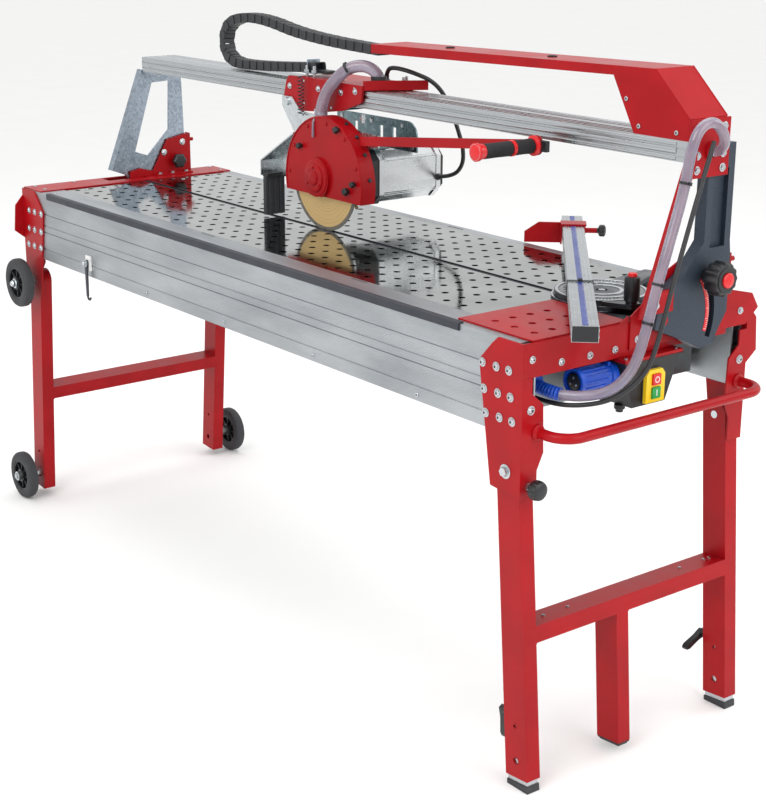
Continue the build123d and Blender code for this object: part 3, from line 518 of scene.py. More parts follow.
CAD_FINISHES = {
    "ribbed_anodised_aluminium": ["front_side_profile", "rear_side_profile"],
    "smooth_anodised_aluminium": ["guide_beam", "fence_bar"],
    "polished_stainless": ["front_table_plate", "rear_table_plate"],
    "red_powder_coat": [
        "left_end_cover", "right_end_cover", "end_aprons", "corner_brackets", "push_handle", "switch_box_lid",
        "right_tilt_plate", "left_tilt_lug", "right_leg_frame", "left_leg_frame", "right_stay", "cable_arm",
        "carriage", "blade_guard", "plunge_handle", "fence_stop",
    ],
    "matt_stainless": ["cross_members", "water_tank"],
    "galvanised_hood": ["splash_hood", "head_plate"],
    "galvanised_stand": ["left_stand"],
    "blued_steel": ["fence_swivel", "protractor_plate"],
    "zinc_plated_steel": ["frame_bolts", "carriage_rollers", "spindle_flanges", "near_foot", "far_foot"],
    "moulded_black_abs": [
        "water_pump", "switch_box", "leg_lock_knob", "tilt_clamp_knob", "near_foot_lever", "far_foot_lever",
    ],
    "edge_strip_rubber": ["transport_hook"],
    "sand_cast_iron": ["right_stand"],
    "yellow_abs": ["switch_plate"],
    "green_abs": ["start_button"],
    "red_abs": ["stop_button"],
    "blue_polyamide": ["power_inlet"],
}


def second_finish(node, finish, chosen):
    """Gives some faces of a CAD node a second finish. chosen takes a face's centre in mm."""
    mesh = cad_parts[node].data
    mesh.materials.append(bpy.data.materials[finish])
    home = HOME.inverted()
    for face in mesh.polygons:
        if chosen(home @ face.center):
            face.material_index = len(mesh.materials) - 1


def dress_frame():
    """Puts each finish on the CAD nodes that stay visible."""
    for finish, nodes in CAD_FINISHES.items():
        for node in nodes:
            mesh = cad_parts[node].data
            mesh.materials.clear()
            mesh.materials.append(bpy.data.materials[finish])
    for foot in ("near_foot", "far_foot"):
        second_finish(foot, "wheel_rubber", lambda c: c.z < 16)
    second_finish(
        "left_leg_frame", "zinc_plated_steel", lambda c: not FRONT_FACE + 0.2 < c.y < REAR_FACE - 0.2,
    )
    second_finish("head_plate", "galvanised_shield", lambda c: c.y > 60)
    second_finish("plunge_handle", "zinc_plated_steel", lambda c: c.y < -3.2)


# ---- rails, table and covers -----------------------------------------------------------------------
def make_edge_strip():
    """The rubber strip along the front rail's top groove, with a small lip above and below."""
    bm = bmesh.new()
    outer = [(-321.4, 871), (-324.6, 873), (-324.6, 887), (-321, 888.4)]
    prism(bm, outer + [(-311, 888.4), (-311, 885.2), (-321.1, 885.2)], (-862, 823), facing_x())
    piece("edge_strip", bm, ["edge_strip_rubber"], "black_rubber", "table", bevel=0.5)


def make_rail_fittings():
    """Screws along the two rails and in the table plates."""
    bm = bmesh.new()
    for x in (-700, -350, 0, 350, 700):
        for face, outward in ((FRONT_FACE, -1), (REAR_FACE, 1)):
            socket_screw(bm, (x, face, 717), (0, outward, 0), 4.5, 2.2)
    for x in (-870, 755):
        for y in (-296, -200, -100, 100, 200):
            if x > 0 and y < 0:
                continue
            socket_screw(bm, (x, y, TABLE_TOP), (0, 0, 1), 5.5, 1.6)
    piece("rail_screws", bm, *ZINC_AND_SOCKET_SHADE, "table")


def make_plate_rims():
    """A rolled rim round the blade slot, and the drain slots' frames."""
    bm = bmesh.new()
    for side in (-1, 1):
        y = (side * 4.1, side * 6.4)
        block(bm, (-904, 794), (min(y), max(y)), (TABLE_TOP, TABLE_TOP + 0.7))
    piece("slot_rims", bm, ["edge_strip_rubber"], "black_rubber", "table")
    bm = bmesh.new()
    for x, y in ((-480, 262), (120, 262), (430, -258), (-160, -258)):
        block(bm, (x - 26, x + 26), (y - 3, y + 3), (TABLE_TOP, TABLE_TOP + 0.5))
    piece("drain_marks", bm, ["matt_stainless"], "table_steel", "table")


def make_switch_details():
    """Lid screws, lid seal, cable gland, button marks and the switch plate's raised frame."""
    bm = bmesh.new()
    for x in (934, 1017):
        for y in (-78, 58):
            socket_screw(bm, (x, y, 819), (0, 0, 1), 4.5, 2.2, 0, 1)
    piece("lid_screws", bm, *ZINC_AND_SOCKET_SHADE, "table")
    bm = bmesh.new()
    block(bm, (922.5, 1028.5), (-89.5, 69.5), (809.5, 812.6))
    frame_outline = [(-37.5, 727), (-37.5, 783), (-29, 794), (7, 794), (15.5, 783), (15.5, 727)]
    prism(bm, frame_outline, (1022.5, 1026), facing_x())
    turned(bm, [(13, 0), (13, 9), (9, 12), (9, 16)], pointing((975, -88, 745), (0, -1, 0)), 12)
    turned(bm, [(11, 0), (11, 8), (7.5, 11), (7.5, 15)], pointing((990, -60, 722), (0, 0, -1)), 12)
    piece("switch_seals", bm, *BLACK, "table", bevel=0.7)
    bm = bmesh.new()
    block(bm, (1038.0, 1038.6), (-12, -10), (741, 753))
    piece("start_mark", bm, ["white_abs"], "green_plastic", "start_button")
    bm = bmesh.new()
    ring_band(bm, 6.2, 4.6, (0, 0.6), pointing((1038.0, -11, 773), (1, 0, 0)), 28)
    piece("stop_mark", bm, ["white_abs"], "red_plastic", "stop_button")


def make_inlet_details():
    """The mains inlet's collar ribs, its black face with round pins and its hinged lid."""
    bm = bmesh.new()
    centre = (985, 786)
    axis = pointing((centre[0], -180, centre[1]), (0, -1, 0))
    for i in range(12):
        x, z = on_circle(centre, 23.6, 30 * i)
        turned(bm, [(2.0, -8), (2.0, 50), (1.2, 52)], pointing((x, -120, z), (0, -1, 0)), 10)
    ring_band(bm, 26.5, 22.8, (-8, 1.5), axis, 48)
    block(bm, (972, 998), (-104, -98), (806, 814))
    piece("inlet_collar", bm, *BLUE, "table", bevel=0.6)
    bm = bmesh.new()
    turned(bm, [(15.8, -2), (15.8, -0.4), (14.8, 0)], axis, 40)
    piece("inlet_face", bm, *BLACK, "table")
    bm = bmesh.new()
    for angle in (90, 210, 330):
        x, z = on_circle(centre, 8.5, angle)
        turned(bm, [(2.4, 0), (2.4, 0.9), (1.8, 1.2)], pointing((x, -180, z), (0, -1, 0)), 14)
    piece("inlet_pins", bm, *ZINC, "table")


def make_tilt_details():
    """Screws in the tilt supports, the locking knob behind the left lug and the stops' lock nuts."""
    bm = bmesh.new()
    for y, z in ((-40, 850), (60, 850), (150, 850), (250, 862), (200, 905), (60, 940)):
        hex_bolt(bm, (1008.2, y, z), (1, 0, 0), 5.5, 3.6)
    for y in (70, 110, 155):
        hex_bolt(bm, (-944, y, 892), (0, 0, 1), 5.5, 3.6)
    for x in (-982, -925):
        for y in (-296, -180, 180, 258):
            if x < -950 or abs(y) > 200:
                socket_screw(bm, (x, y, 888), (0, 0, 1), 5, 2.4, 0, 1)
    hex_bolt(bm, (-953, 90, 950), (1, 0, 0), 6.5, 4.5)
    hex_bolt(bm, (-953, 150, 975), (1, 0, 0), 6.5, 4.5)
    piece("tilt_bolts", bm, *ZINC_AND_SOCKET_SHADE, "table")
    bm = bmesh.new()
    knob = pointing((-952, 128, 925), (1, 0, 0))
    turned(bm, [(7, 0), (7, 8), (19, 10), (21, 14), (21, 22), (17, 26), (6, 27)], knob, 60, 0, 6, 0.16)
    piece("left_tilt_knob", bm, *BLACK, "table")


def make_push_handle_details():
    """Weld beads and end flanges where the push handle meets the corner brackets."""
    bm = bmesh.new()
    for y in (-285, 262):
        plane = pointing((1004.6, y, 714), (1, 0, 0))
        turned(bm, [(15, 0), (15, 3.0), (13.4, 3.6), (11.2, 6.5), (10.1, 8)], plane, 40)
    piece("handle_flanges", bm, *COATED, "table")


def make_tank_details():
    """The water inlet's barbed blue fitting and the tank's drain plug."""
    bm = bmesh.new()
    fitting = pointing((951, -238, 785), (1, 0, 0))
    turned(bm, [(17, -34), (17, -30), (15, -29), (15, -22), (17, -21), (17, -3), (14.6, 0)], fitting, 36)
    for offset in (-26, -20, -14, -8):
        ring_band(bm, 18.2, 15, (offset, offset + 2.6), fitting, 36)
    piece("water_fitting", bm, *BLUE, "table", bevel=0.4)
    bm = bmesh.new()
    turned(bm, [(16, 0), (16, 5), (10, 6), (10, 15), (8, 16)], pointing((-780, -20, 715), (0, 0, -1)), 6)
    piece("tank_drain", bm, *BLACK, "table")


def make_frame_screws():
    """The frame's button-head screws on their washers, and the pivot pins of the legs and wheels."""
    bm = bmesh.new()

    def button(place, direction, radius=6.4):
        plane = pointing(place, direction)
        turned(bm, [(radius * 1.4, 0), (radius * 1.4, 1.3), (radius * 1.25, 1.6)], plane, 28)
        dome = [(radius, 1.5), (radius * 0.96, 3.2), (radius * 0.78, 4.6), (radius * 0.5, 5.0)]
        turned(bm, dome, plane, 28)
        # Dark hexagon on the dome: painted shade for the socket's recess.
        turned(bm, [(radius * 0.44, 4.8), (radius * 0.44, 5.1)], plane, 6, 1)

    for side, face in ((-1, FRONT_FACE - 4), (1, REAR_FACE + 4)):
        for end in (-1, 1):
            for row, height in enumerate((829, 780, 735)):
                for column in (895, 933, 967):
                    button((end * (column + 6 * row), face, height), (0, side, 0))
    for y in (-304, 262):
        button((1004.5, y, 759), (1, 0, 0))
        button((-1004.5, y, 759), (-1, 0, 0))
    for y, z in ((-304, 854), (-232, 838), (-160, 838), (-95, 838)):
        button((1004.5, y, z), (1, 0, 0), 5.2)
    for side, face in ((-1, FRONT_FACE - 4), (1, REAR_FACE + 4)):
        inner = (FRONT_FACE if side < 0 else REAR_FACE) - side * 35
        length = abs(face - inner)
        turned(bm, [(8, 0), (8, length)], pointing((RIGHT_PIVOT[0], inner, RIGHT_PIVOT[1]), (0, side, 0)), 36)
        head = pointing((RIGHT_PIVOT[0], face, RIGHT_PIVOT[1]), (0, side, 0))
        turned(bm, [(14, 0), (14, 1.5), (12, 2)], head, 36)
        turned(bm, [(9.5, 1.8), (9.5, 8), (8.4, 9)], head, 6)
        axle = pointing((LEFT_PIVOT[0], inner, LEFT_PIVOT[1]), (0, side, 0))
        turned(bm, [(8, 0), (8, length + 60)], axle, 36)
        wheel_face = WHEEL_MIDDLE + side * (WHEEL_REACH - 14.5)
        reach = abs(wheel_face - face)
        sleeve = pointing((LEFT_PIVOT[0], face, LEFT_PIVOT[1]), (0, side, 0))
        turned(bm, [(14, 0), (14, 2), (12.6, 3), (12.6, reach)], sleeve, 36)
    turned(bm, [(3, 0), (3, 20)], pointing((-640, FRONT_FACE, 742), (0, -1, 0)), 20)
    turned(bm, [(6.5, 13), (6.5, 19), (4.5, 21)], pointing((-640, FRONT_FACE, 742), (0, -1, 0)), 28)
    piece("frame_screws", bm, *ZINC_AND_SOCKET_SHADE, "table", ["frame_bolts"])


# ---- legs, feet and wheels -------------------------------------------------------------------------
def make_leg_details():
    """Weld beads, adjusting holes' rims, the middle leg's plug and the crossbar's rivets."""
    for name, pivot, splay, bar_top, body in (
        ("right", RIGHT_PIVOT, -RIGHT_SPLAY, -305, "right_legs"),
        ("left", LEFT_PIVOT, LEFT_SPLAY, -310, "left_legs"),
    ):
        place = along_leg(pivot, splay)
        bm = bmesh.new()
        near = FRONT_FACE + 0.5 + 34
        far = REAR_FACE - 0.5 - 34
        for y, inward in ((near, 1), (far, -1)):
            for z in (bar_top - 35.2, bar_top - 0.8):
                bead = [place @ Vector((x, y + inward * 1.2, z)) for x in (-29, -10, 10, 29)]
                tube(bm, bead, 1.8 * MM, 8)
        if name == "right":
            for y in (-74, -40):
                bead = [place @ Vector((x, y, bar_top - 35.4)) for x in (-29, -10, 10, 29)]
                tube(bm, bead, 1.8 * MM, 8)
        piece(name + "_leg_welds", bm, *COATED, body)
        bm = bmesh.new()
        for y, outward in ((FRONT_FACE + 0.5, -1), (REAR_FACE - 0.5, 1)):
            turn = Matrix.Rotation(math.radians(90 * -outward), 4, "X")
            for height, outer, inner in ((-508, 6.6, 4.1), (-580, 9.4, 7.1)):
                spot = place @ Matrix.Translation((0, y, height)) @ turn
                ring_band(bm, outer, inner, (0.02, 0.35), spot, 28)
        piece(name + "_leg_hole_rims", bm, *COATED, body)
    bm = bmesh.new()
    place = along_leg(RIGHT_PIVOT, -RIGHT_SPLAY)
    block(bm, (-29.6, 29.6), (-72.6, -41.4), (-619, -615.02), place)
    block(bm, (-26.6, 26.6), (-69.6, -44.4), (-623, -619), place)
    piece("middle_leg_plug", bm, *BLACK, "right_legs", bevel=0.8)
    bm = bmesh.new()
    for y in (-266, -240, -176, 140, 214, 229):
        turned(bm, [(3.6, 0), (3.6, 2.4), (2.0, 3.4)], place @ Matrix.Translation((0, y, -305)), 20)
    piece("crossbar_rivets", bm, *ZINC, "right_legs")


def make_foot_levers():
    """The clamp levers on the right feet: a ribbed hub, a waisted grip and a steel screw."""
    place = along_leg(RIGHT_PIVOT, -RIGHT_SPLAY)
    for name, middle, turn in (("near", FRONT_FACE + 17.5, 0), ("far", REAR_FACE - 17.5, -68)):
        own = place @ Matrix.Translation((-30, middle, -492)) @ Matrix.Rotation(math.radians(turn), 4, "X")
        towards = own @ Matrix.Rotation(math.radians(-90), 4, "Y")
        bm = bmesh.new()
        turned(bm, [(9, 0.6), (9.6, 6), (9.6, 19), (8, 20.6)], towards, 36, 0, 12, 0.08)
        side = own @ Matrix(((0, 0, -1, 0), (1, 0, 0, 0), (0, 1, 0, 0), (0, 0, 0, 1)))
        grip = [
            (-8, 3), (0, 8), (8, 3), (5.4, -20), (6.4, -50), (3, -58), (-3, -58), (-6.4, -50), (-5.4, -20),
        ]
        prism(bm, grip, (12, 25.5), side)
        turned(bm, [(4, 20), (4, 21.4), (3.2, 22)], towards, 6, 1)
        turned(bm, [(5, -2.8), (5, 1)], towards, 20, 1)
        finishes = ["moulded_black_abs", "zinc_plated_steel"]
        old = [name + "_foot_lever"]
        piece(name + "_lever_grip", bm, finishes, "black_plastic", name + "_lever", old, bevel=1.2)


def make_wheels():
    """Solid tyres on ribbed hubs, each with a bearing bush and a domed nut."""
    flank = [(66, 4), (65.4, 8), (63, 12), (58, 13.8), (50, 13.6), (43, 13)]
    tyre = [(radius, -height) for radius, height in reversed(flank)] + flank
    foot = on_circle(LEFT_PIVOT, WHEEL_DROP, -90 - LEFT_SPLAY)
    for level, (x, z), carrier in (("upper", LEFT_PIVOT, "table"), ("lower", foot, "left_legs")):
        for side, name in ((-1, "near"), (1, "far")):
            body = f"{level}_{name}_wheel"
            middle = WHEEL_MIDDLE + side * WHEEL_REACH
            plane = pointing((x, middle, z), (0, side, 0))
            bm = bmesh.new()
            revolved(bm, tyre, plane, 72)
            ring_band(bm, 57, 55.4, (13.6, 14.0), plane, 72)
            piece(body + "_tyre", bm, ["wheel_rubber"], "black_rubber", body, [body])
            bm = bmesh.new()
            ring_band(bm, 43.2, 38.5, (-12, 12), plane, 72)
            ring_band(bm, 39, 17, (-2.5, 2.5), plane, 72)
            ring_band(bm, 18, 8.1, (-13.6, 13.6), plane, 40)
            for i in range(8):
                rib = plane @ Matrix.Rotation(2 * math.pi * i / 8, 4, "Z")
                block(bm, (17, 39), (-1.5, 1.5), (-9, 9), rib)
            piece(body + "_hub", bm, ["moulded_black_abs"], "black_rubber", body, bevel=0.5)
            bm = bmesh.new()
            tip = pointing((x, middle + side * 15, z), (0, side, 0))
            turned(bm, [(13.2, -0.4), (13.2, 1.2), (11, 1.6)], tip, 36)
            turned(bm, [(9.5, 1.4), (9.5, 8), (8.4, 9.2)], tip, 6)
            turned(bm, [(7.4, 9), (6.6, 11.4), (4.2, 13.2), (1.5, 13.8)], tip, 28)
            piece(body + "_nut", bm, *ZINC, carrier)


def make_lock_knob():
    """The leg lock's mushroom knob with a knurled skirt on its collar."""
    bm = bmesh.new()
    plane = pointing((1004.5, -303, 612), (1, 0, 0))
    turned(bm, [(4, -3.7), (4, 1)], plane, 24, 1)
    turned(bm, [(10.5, 0.4), (10.5, 6), (9, 7), (9, 12)], plane, 6, 1)
    turned(bm, [(9, 12), (17, 14), (19, 17), (19, 27), (17.5, 32), (13, 35), (6, 36)], plane, 72, 0, 18, 0.05)
    finishes = ["moulded_black_abs", "zinc_plated_steel"]
    piece("lock_knob_grip", bm, finishes, "black_plastic", "lock_knob", ["leg_lock_knob"])


def make_clamp_knob():
    """The tilt clamp's round knob: fluted rim, recessed face and a red cap."""
    bm = bmesh.new()
    plane = pointing((1038, *CLAMP_AXIS), (1, 0, 0))
    rim = [(31, 19), (34, 23), (34, 44), (31, 50), (24, 52)]
    turned(bm, [(15, 0.5), (15, 14), (17, 18)] + rim, plane, 96, 0, 12, 0.1)
    ring_band(bm, 25, 15, (51.6, 53.4), plane, 64)
    piece("clamp_knob_grip", bm, *BLACK, "clamp_knob", ["tilt_clamp_knob"], bevel=0.6)
    bm = bmesh.new()
    turned(bm, [(14.6, 51), (14.6, 56), (12.5, 57.6), (5, 58)], plane, 48)
    piece("clamp_knob_cap", bm, *RED, "clamp_knob", bevel=0.4)


def make_hook():
    """The transport hook: a webbing-like strap, its bent end and its washer."""
    bm = bmesh.new()
    strap = [
        (-646, 748), (-640, 751), (-634, 748), (-635.2, 690), (-636.4, 655), (-643.6, 655), (-644.8, 690),
    ]
    prism(bm, strap, (-333, -328.4), facing_y())
    turns = [math.pi * i / 12 for i in range(12)]
    bend = [at(-632 - 8 * math.cos(a), -330.7, 656 - 9 * math.sin(a)) for a in turns]
    tube(bm, bend, 2.6 * MM, 12)
    piece("hook_strap", bm, ["edge_strip_rubber"], "black_rubber", "hook", ["transport_hook"], bevel=0.6)
    bm = bmesh.new()
    ring_band(bm, 9.5, 3.2, (0, 1.0), pointing((-640, -333, 742), (0, -1, 0)), 32)
    piece("hook_washer", bm, *ZINC, "hook")
    bm = bmesh.new()
    block(bm, (-652, -628), (-326.6, -321.2), (722, 760))
    # The screw's dark hexagon is painted shade for its socket; the black finish serves only that.
    socket_screw(bm, (-646, -326.6, 727), (0, -1, 0), 3, 1.6)
    piece("hook_keeper", bm, ["white_abs", "moulded_black_abs"], "steel_hardware", "table", bevel=1.0)


# ---- bridge ----------------------------------------------------------------------------------------
def make_stand_details():
    """Bolts in both stands and the stay, and the red angle scale with plain ticks."""
    bm = bmesh.new()
    for y, z in ((48, 1160), (90, 1164), (136, 1164), (-48, 925), (140, 912), (60, 912)):
        hex_bolt(bm, (-968, y, z), (-1, 0, 0), 6.5, 4.5)
    for y in (52, 120):
        for x in (-940, -905):
            hex_bolt(bm, (x, y, 1172), (0, 0, -1), 5.5, 4)
    for y, z in ((55, 1190), (125, 1190), (55, 1163), (125, 1163), (55, 1240), (125, 1240)):
        hex_bolt(bm, (1044.5, y, z), (1, 0, 0), 6, 4)
    piece("stand_bolts", bm, *ZINC, "bridge")
    bm = bmesh.new()
    for y in (0, 14):
        hex_bolt(bm, (1038.1, y - 20, 922), (1, 0, 0), 5.5, 3.5)
    hex_bolt(bm, (1049, -38, 922), (1, 0, 0), 5.5, 3.5)
    hex_bolt(bm, (1049, 34, 1176), (1, 0, 0), 5, 3.5)
    piece("stay_bolts", bm, *ZINC, "bridge")
    bm = bmesh.new()
    band = []
    for radius in (112, 121):
        arc = range(-18, 37, 3)
        edge = [on_circle((0, TABLE_TOP), radius, a) for a in arc]
        band += edge if radius == 112 else edge[::-1]
    prism(bm, band, (1038.0, 1038.7), facing_x())
    piece("angle_scale", bm, *RED, "bridge")
    bm = bmesh.new()
    for i, angle in enumerate(range(-16, 35, 2)):
        start = 113 if i % 5 == 0 else 116.5
        cos, sin = math.cos(math.radians(angle)), math.sin(math.radians(angle))
        across = Vector((-sin * 0.35, cos * 0.35))
        near = Vector((start * cos, TABLE_TOP + start * sin))
        far = Vector((120.5 * cos, TABLE_TOP + 120.5 * sin))
        prism(bm, [near - across, far - across, far + across, near + across], (1038.65, 1038.95), facing_x())
    piece("angle_scale_ticks", bm, ["white_abs"], "red_plastic", "bridge")


def make_beam_details():
    """The beam's rounded face rib, its T-slot lines and its end caps."""
    bm = bmesh.new()
    for z, half, proud in ((1197, 5.4, 1.7), (1183.5, 3.6, 1.1), (1210.5, 3.6, 1.1)):
        outline = []
        for i in range(9):
            angle = math.pi * i / 8
            outline.append((34.05 - proud * math.sin(angle), z - half * math.cos(angle)))
        prism(bm, outline, (-957.5, 1011), facing_x())
    for y in (44, 58, 72, 101, 115, 129):
        outline = [(y - 1.3, 1217), (y, 1217.9), (y + 1.3, 1217)]
        prism(bm, outline, (-957.5, 901), facing_x())
    piece("beam_ribs", bm, ["smooth_anodised_aluminium"], "rail_anodised", "bridge")
    bm = bmesh.new()
    block(bm, (-960.5, -958.1), (35, 138), (1179.5, 1216))
    piece("beam_cap", bm, *BLACK, "bridge", bevel=0.8)


def make_arm_details():
    """Rubber grommets on the cable arm, weld beads at its elbow and its screws."""
    bm = bmesh.new()
    for x in (300, 620):
        z = 1325 + (x - 83) * 16 / 867
        ring_band(bm, 10, 6.2, (0, 3), pointing((x, 85, z), (-0.018, 0, 1)), 32)
    piece("arm_grommets", bm, *BLACK, "bridge", bevel=0.8)
    bm = bmesh.new()
    for a, b in (((903, 1218), (844, 1321)), ((950, 1341), (1040, 1258))):
        for y in (34.6, 135.4):
            bead = [at(a[0] + (b[0] - a[0]) * t / 6, y, a[1] + (b[1] - a[1]) * t / 6) for t in range(7)]
            tube(bm, bead, 1.3 * MM, 8)
    piece("arm_welds", bm, *COATED, "bridge")
    bm = bmesh.new()
    for x, z in ((880, 1280), (1010, 1230), (915, 1232)):
        socket_screw(bm, (x, 34, z), (0, -1, 0), 4.6, 2.6, 0, 1)
        socket_screw(bm, (x, 136, z), (0, 1, 0), 4.6, 2.6, 0, 1)
    piece("arm_screws", bm, *ZINC_AND_SOCKET_SHADE, "bridge")


CHAIN_ROUTE = [
    (82, 72, 1309),
    (-190, 72, 1315),
    (-430, 72, 1358),
    (-580, 72, 1334),
    (-580, 72, 1236),
    (-430, 72, 1231),
    (-170, 72, 1251),
]


def make_cable_chain():
    """The cable chain: overlapping links with two cheeks, two crossbars and a rounded joint each."""
    pitch = 16.0
    line = evenly(smooth_line(CHAIN_ROUTE), pitch * MM)
    cheek = []
    for side, centre in ((1, 7.0), (-1, -7.0)):
        for i in range(7):
            angle = math.radians(-90 + 30 * i)
            cheek.append((side * (7 + 4.4 * math.cos(angle)), side * 11.4 * math.sin(angle)))
    bm = bmesh.new()
    for i, (here, after) in enumerate(zip(line, line[1:])):
        ahead = (after - here).normalized()
        across = Vector((0, 1, 0))
        up = ahead.cross(across) * -1
        middle = (here + after) / 2
        axes = Matrix((
            (ahead.x * MM, up.x * MM, across.x * MM, middle.x),
            (ahead.y * MM, up.y * MM, across.y * MM, middle.y),
            (ahead.z * MM, up.z * MM, across.z * MM, middle.z),
            (0, 0, 0, 1),
        ))
        shift = 1.6 if i % 2 else 0.0
        for inner in (-16.6 + shift, 13.8 - shift):
            prism(bm, cheek, (inner, inner + 2.8), axes)
        for low in (-11.6, 9.2):
            block(bm, (-5.2, 5.2), (low, low + 2.4), (-14, 14), axes)
        for side in (-1, 1):
            dot = axes @ Matrix.Translation((7, 0, side * (16.4 - shift)))
            turned(bm, [(3, 0), (2.6, side * 0.7)], dot, 12)
    finishes = ["chain_polyamide"]
    chain = piece("cable_chain_links", bm, finishes, "black_plastic", "bridge", ["cable_chain"], ridden=False)
    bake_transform(chain)


# ---- hoses and cables ------------------------------------------------------------------------------
MAIN_HOSE = [
    (1052, 93, 1196),
    (1074, 91, 1201),
    (1091, 74, 1232),
    (1094, 38, 1262),
    (1090, 2, 1250),
    (1086, -12, 1202),
    (1084, -18, 1146),
    (1084, -46, 1060),
    (1084, -76, 973),
    (1084, -100, 890),
    (1082, -122, 826),
    (1068, -160, 784),
    (1032, -212, 773),
    (977, -240, 776),
    (918, -238, 785),
]
POWER_CABLE = [
    (1104, 30, 1226),
    (1106, -2, 1146),
    (1106, -32, 1058),
    (1106, -62, 968),
    (1105, -85, 884),
    (1100, -110, 812),
    (1072, -162, 768),
    (1032, -216, 757),
    (972, -238, 754),
    (902, -232, 755),
]
WATER_HOSE = [
    (61, 75, 1234.5),
    (60, 74, 1256),
    (34, 52, 1274),
    (4, 26, 1265),
    (-26, 7, 1232),
    (-52, 0, 1198),
    (-66, 0, 1159),
]
MOTOR_CABLE = [
    (44, 106, 1232.5),
    (52, 104, 1256),
    (88, 88, 1272),
    (136, 108, 1264),
    (158, 166, 1237),
    (150, 218, 1174),
    (134, 252, 1120),
    (124, 278, 1076),
    (108, 292, 1030),
    (70, 292, 998),
    (19, 290, 992),
]


def make_cord(name, node, route, diameter_mm, look, bodies):
    """A hose or cable as a fixed tube on its smooth line between the two bodies that hold its ends; it is not
    hung on either.
    """
    line = evenly(smooth_line(route), 0.004)
    bm = bmesh.new()
    tube(bm, line, diameter_mm / 2 * MM, 24)
    made = piece(name, bm, *look, bodies[0], [node], smooth=60, ridden=False)
    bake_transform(made)
    return line


def make_hose_ties(line, heights):
    """Black ties round the hose and the cable beside it."""
    for number, height in enumerate(heights):
        near = min(line, key=lambda p: abs(p.z - height * MM))
        after = line[min(line.index(near) + 1, len(line) - 1)]
        plane = Matrix.Translation(near) @ (after - near).to_track_quat("Z", "Y").to_matrix().to_4x4()
        bm = bmesh.new()
        ring_band(bm, 11.6, 10.1, (-2.4, 2.4), plane @ Matrix.Scale(MM, 4), 32)
        block(bm, (9.5, 15), (-3, 3), (-3.2, 3.2), plane @ Matrix.Scale(MM, 4))
        body = "bridge" if height > 1000 else "table"
        made = piece(f"hose_tie_{number}", bm, *BLACK, body, ridden=False)
        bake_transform(made)


def make_cords():
    """The two hoses and the two cables, the main hose's ties and its ribbed end sleeve."""
    hose_look = (["clear_pvc_hose"], "hose_clear")
    cable_look = (["cable_sheath"], "cable_black")
    stand = ("table", "bridge")
    hose = make_cord("water_supply_hose", "main_hose", MAIN_HOSE, 20, hose_look, stand)
    make_cord("power_lead", "power_cable", POWER_CABLE, 9, cable_look, stand)
    make_hose_ties(hose, (1152, 973, 905))
    bm = bmesh.new()
    tube(bm, evenly(hose[-22:], 0.0012), 0.0122, 28, 0, 0.0009, 0.0065)
    piece("hose_end_sleeve", bm, *BLUE, "table", smooth=60)
    moving = ("carriage", "head")
    make_cord("head_water_hose", "water_hose", WATER_HOSE, 28, hose_look, moving)
    make_cord("motor_lead", "motor_cable", MOTOR_CABLE, 10, cable_look, moving)


# ---- carriage and cutting head ---------------------------------------------------------------------
def make_carriage_details():
    """The carriage's bolts and studs, the chain's bracket, and the hose's clip and strap."""
    bm = bmesh.new()
    for x, z in ((-228, 1205), (-110, 1208), (-20, 1208), (35, 1215)):
        hex_bolt(bm, (x, CARRIAGE_FRONT, z), (0, -1, 0), 5.5, 3.8)
    for x, y in ((92, 122), (78, 142), (-60, 60)):
        hex_bolt(bm, (x, y, CARRIAGE_TOP), (0, 0, 1), 7, 5)
        turned(bm, [(3.6, 5), (3.6, 16), (2.8, 17)], pointing((x, y, CARRIAGE_TOP), (0, 0, 1)), 18)
    for x in (-190, -160):
        turned(bm, [(4, 0), (4, 24), (3, 25)], pointing((x, 50, CARRIAGE_TOP), (0, 0, 1)), 20)
        turned(bm, [(7, 0), (7, 5.5)], pointing((x, 50, CARRIAGE_TOP + 10), (0, 0, 1)), 6)
    for x in (-120, 60):
        turned(bm, [(5, 0), (5, 20), (4, 21)], pointing((x, 30, 1166), (0, 0, -1)), 20)
        turned(bm, [(8.5, 6), (8.5, 12)], pointing((x, 30, 1166), (0, 0, -1)), 6)
    piece("carriage_bolts", bm, *ZINC, "carriage")
    bm = bmesh.new()
    block(bm, (-196, -150), (40, 104), (1237.5, 1240))
    block(bm, (-196, -193.6), (53, 91), (1236.5, 1268))
    piece("chain_bracket", bm, ["galvanised_stand"], "galvanised", "carriage", bevel=0.8)
    bm = bmesh.new()
    ring_band(bm, 18.5, 14.6, (-7, 7), pointing((60.5, 74.5, 1242), (0, 0, 1)), 40)
    turned(bm, [(9, 0), (9, 10), (6, 14), (6, 20)], pointing((44, 106, CARRIAGE_TOP), (0.3, 0, 1)), 12)
    block(bm, (-166, -118), (58, 86), (1238, 1246))
    piece("hose_clip", bm, *BLACK, "carriage", bevel=1.0)
    bm = bmesh.new()
    ring_band(bm, 14.9, 14.0, (-3, 3), pointing((4, 26, 1265), (-60, -45, -42)), 36)
    piece("hose_strap", bm, *BLACK, "carriage")


def make_return_spring():
    """The coil spring beside the guard, drawn as a plain coil without its end hooks."""
    turns = 11
    steps = turns * 18
    line = []
    for i in range(steps + 1):
        angle = 2 * math.pi * i / 18
        line.append(at(-164 + 6.8 * math.cos(angle), 12 + 6.8 * math.sin(angle), 1142 + 92 * i / steps))
    bm = bmesh.new()
    tube(bm, line, 1.15 * MM, 8)
    finishes = ["blued_steel"]
    made = piece("return_spring", bm, finishes, "steel_hardware", "carriage", ["head_spring"], ridden=False)
    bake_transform(made)


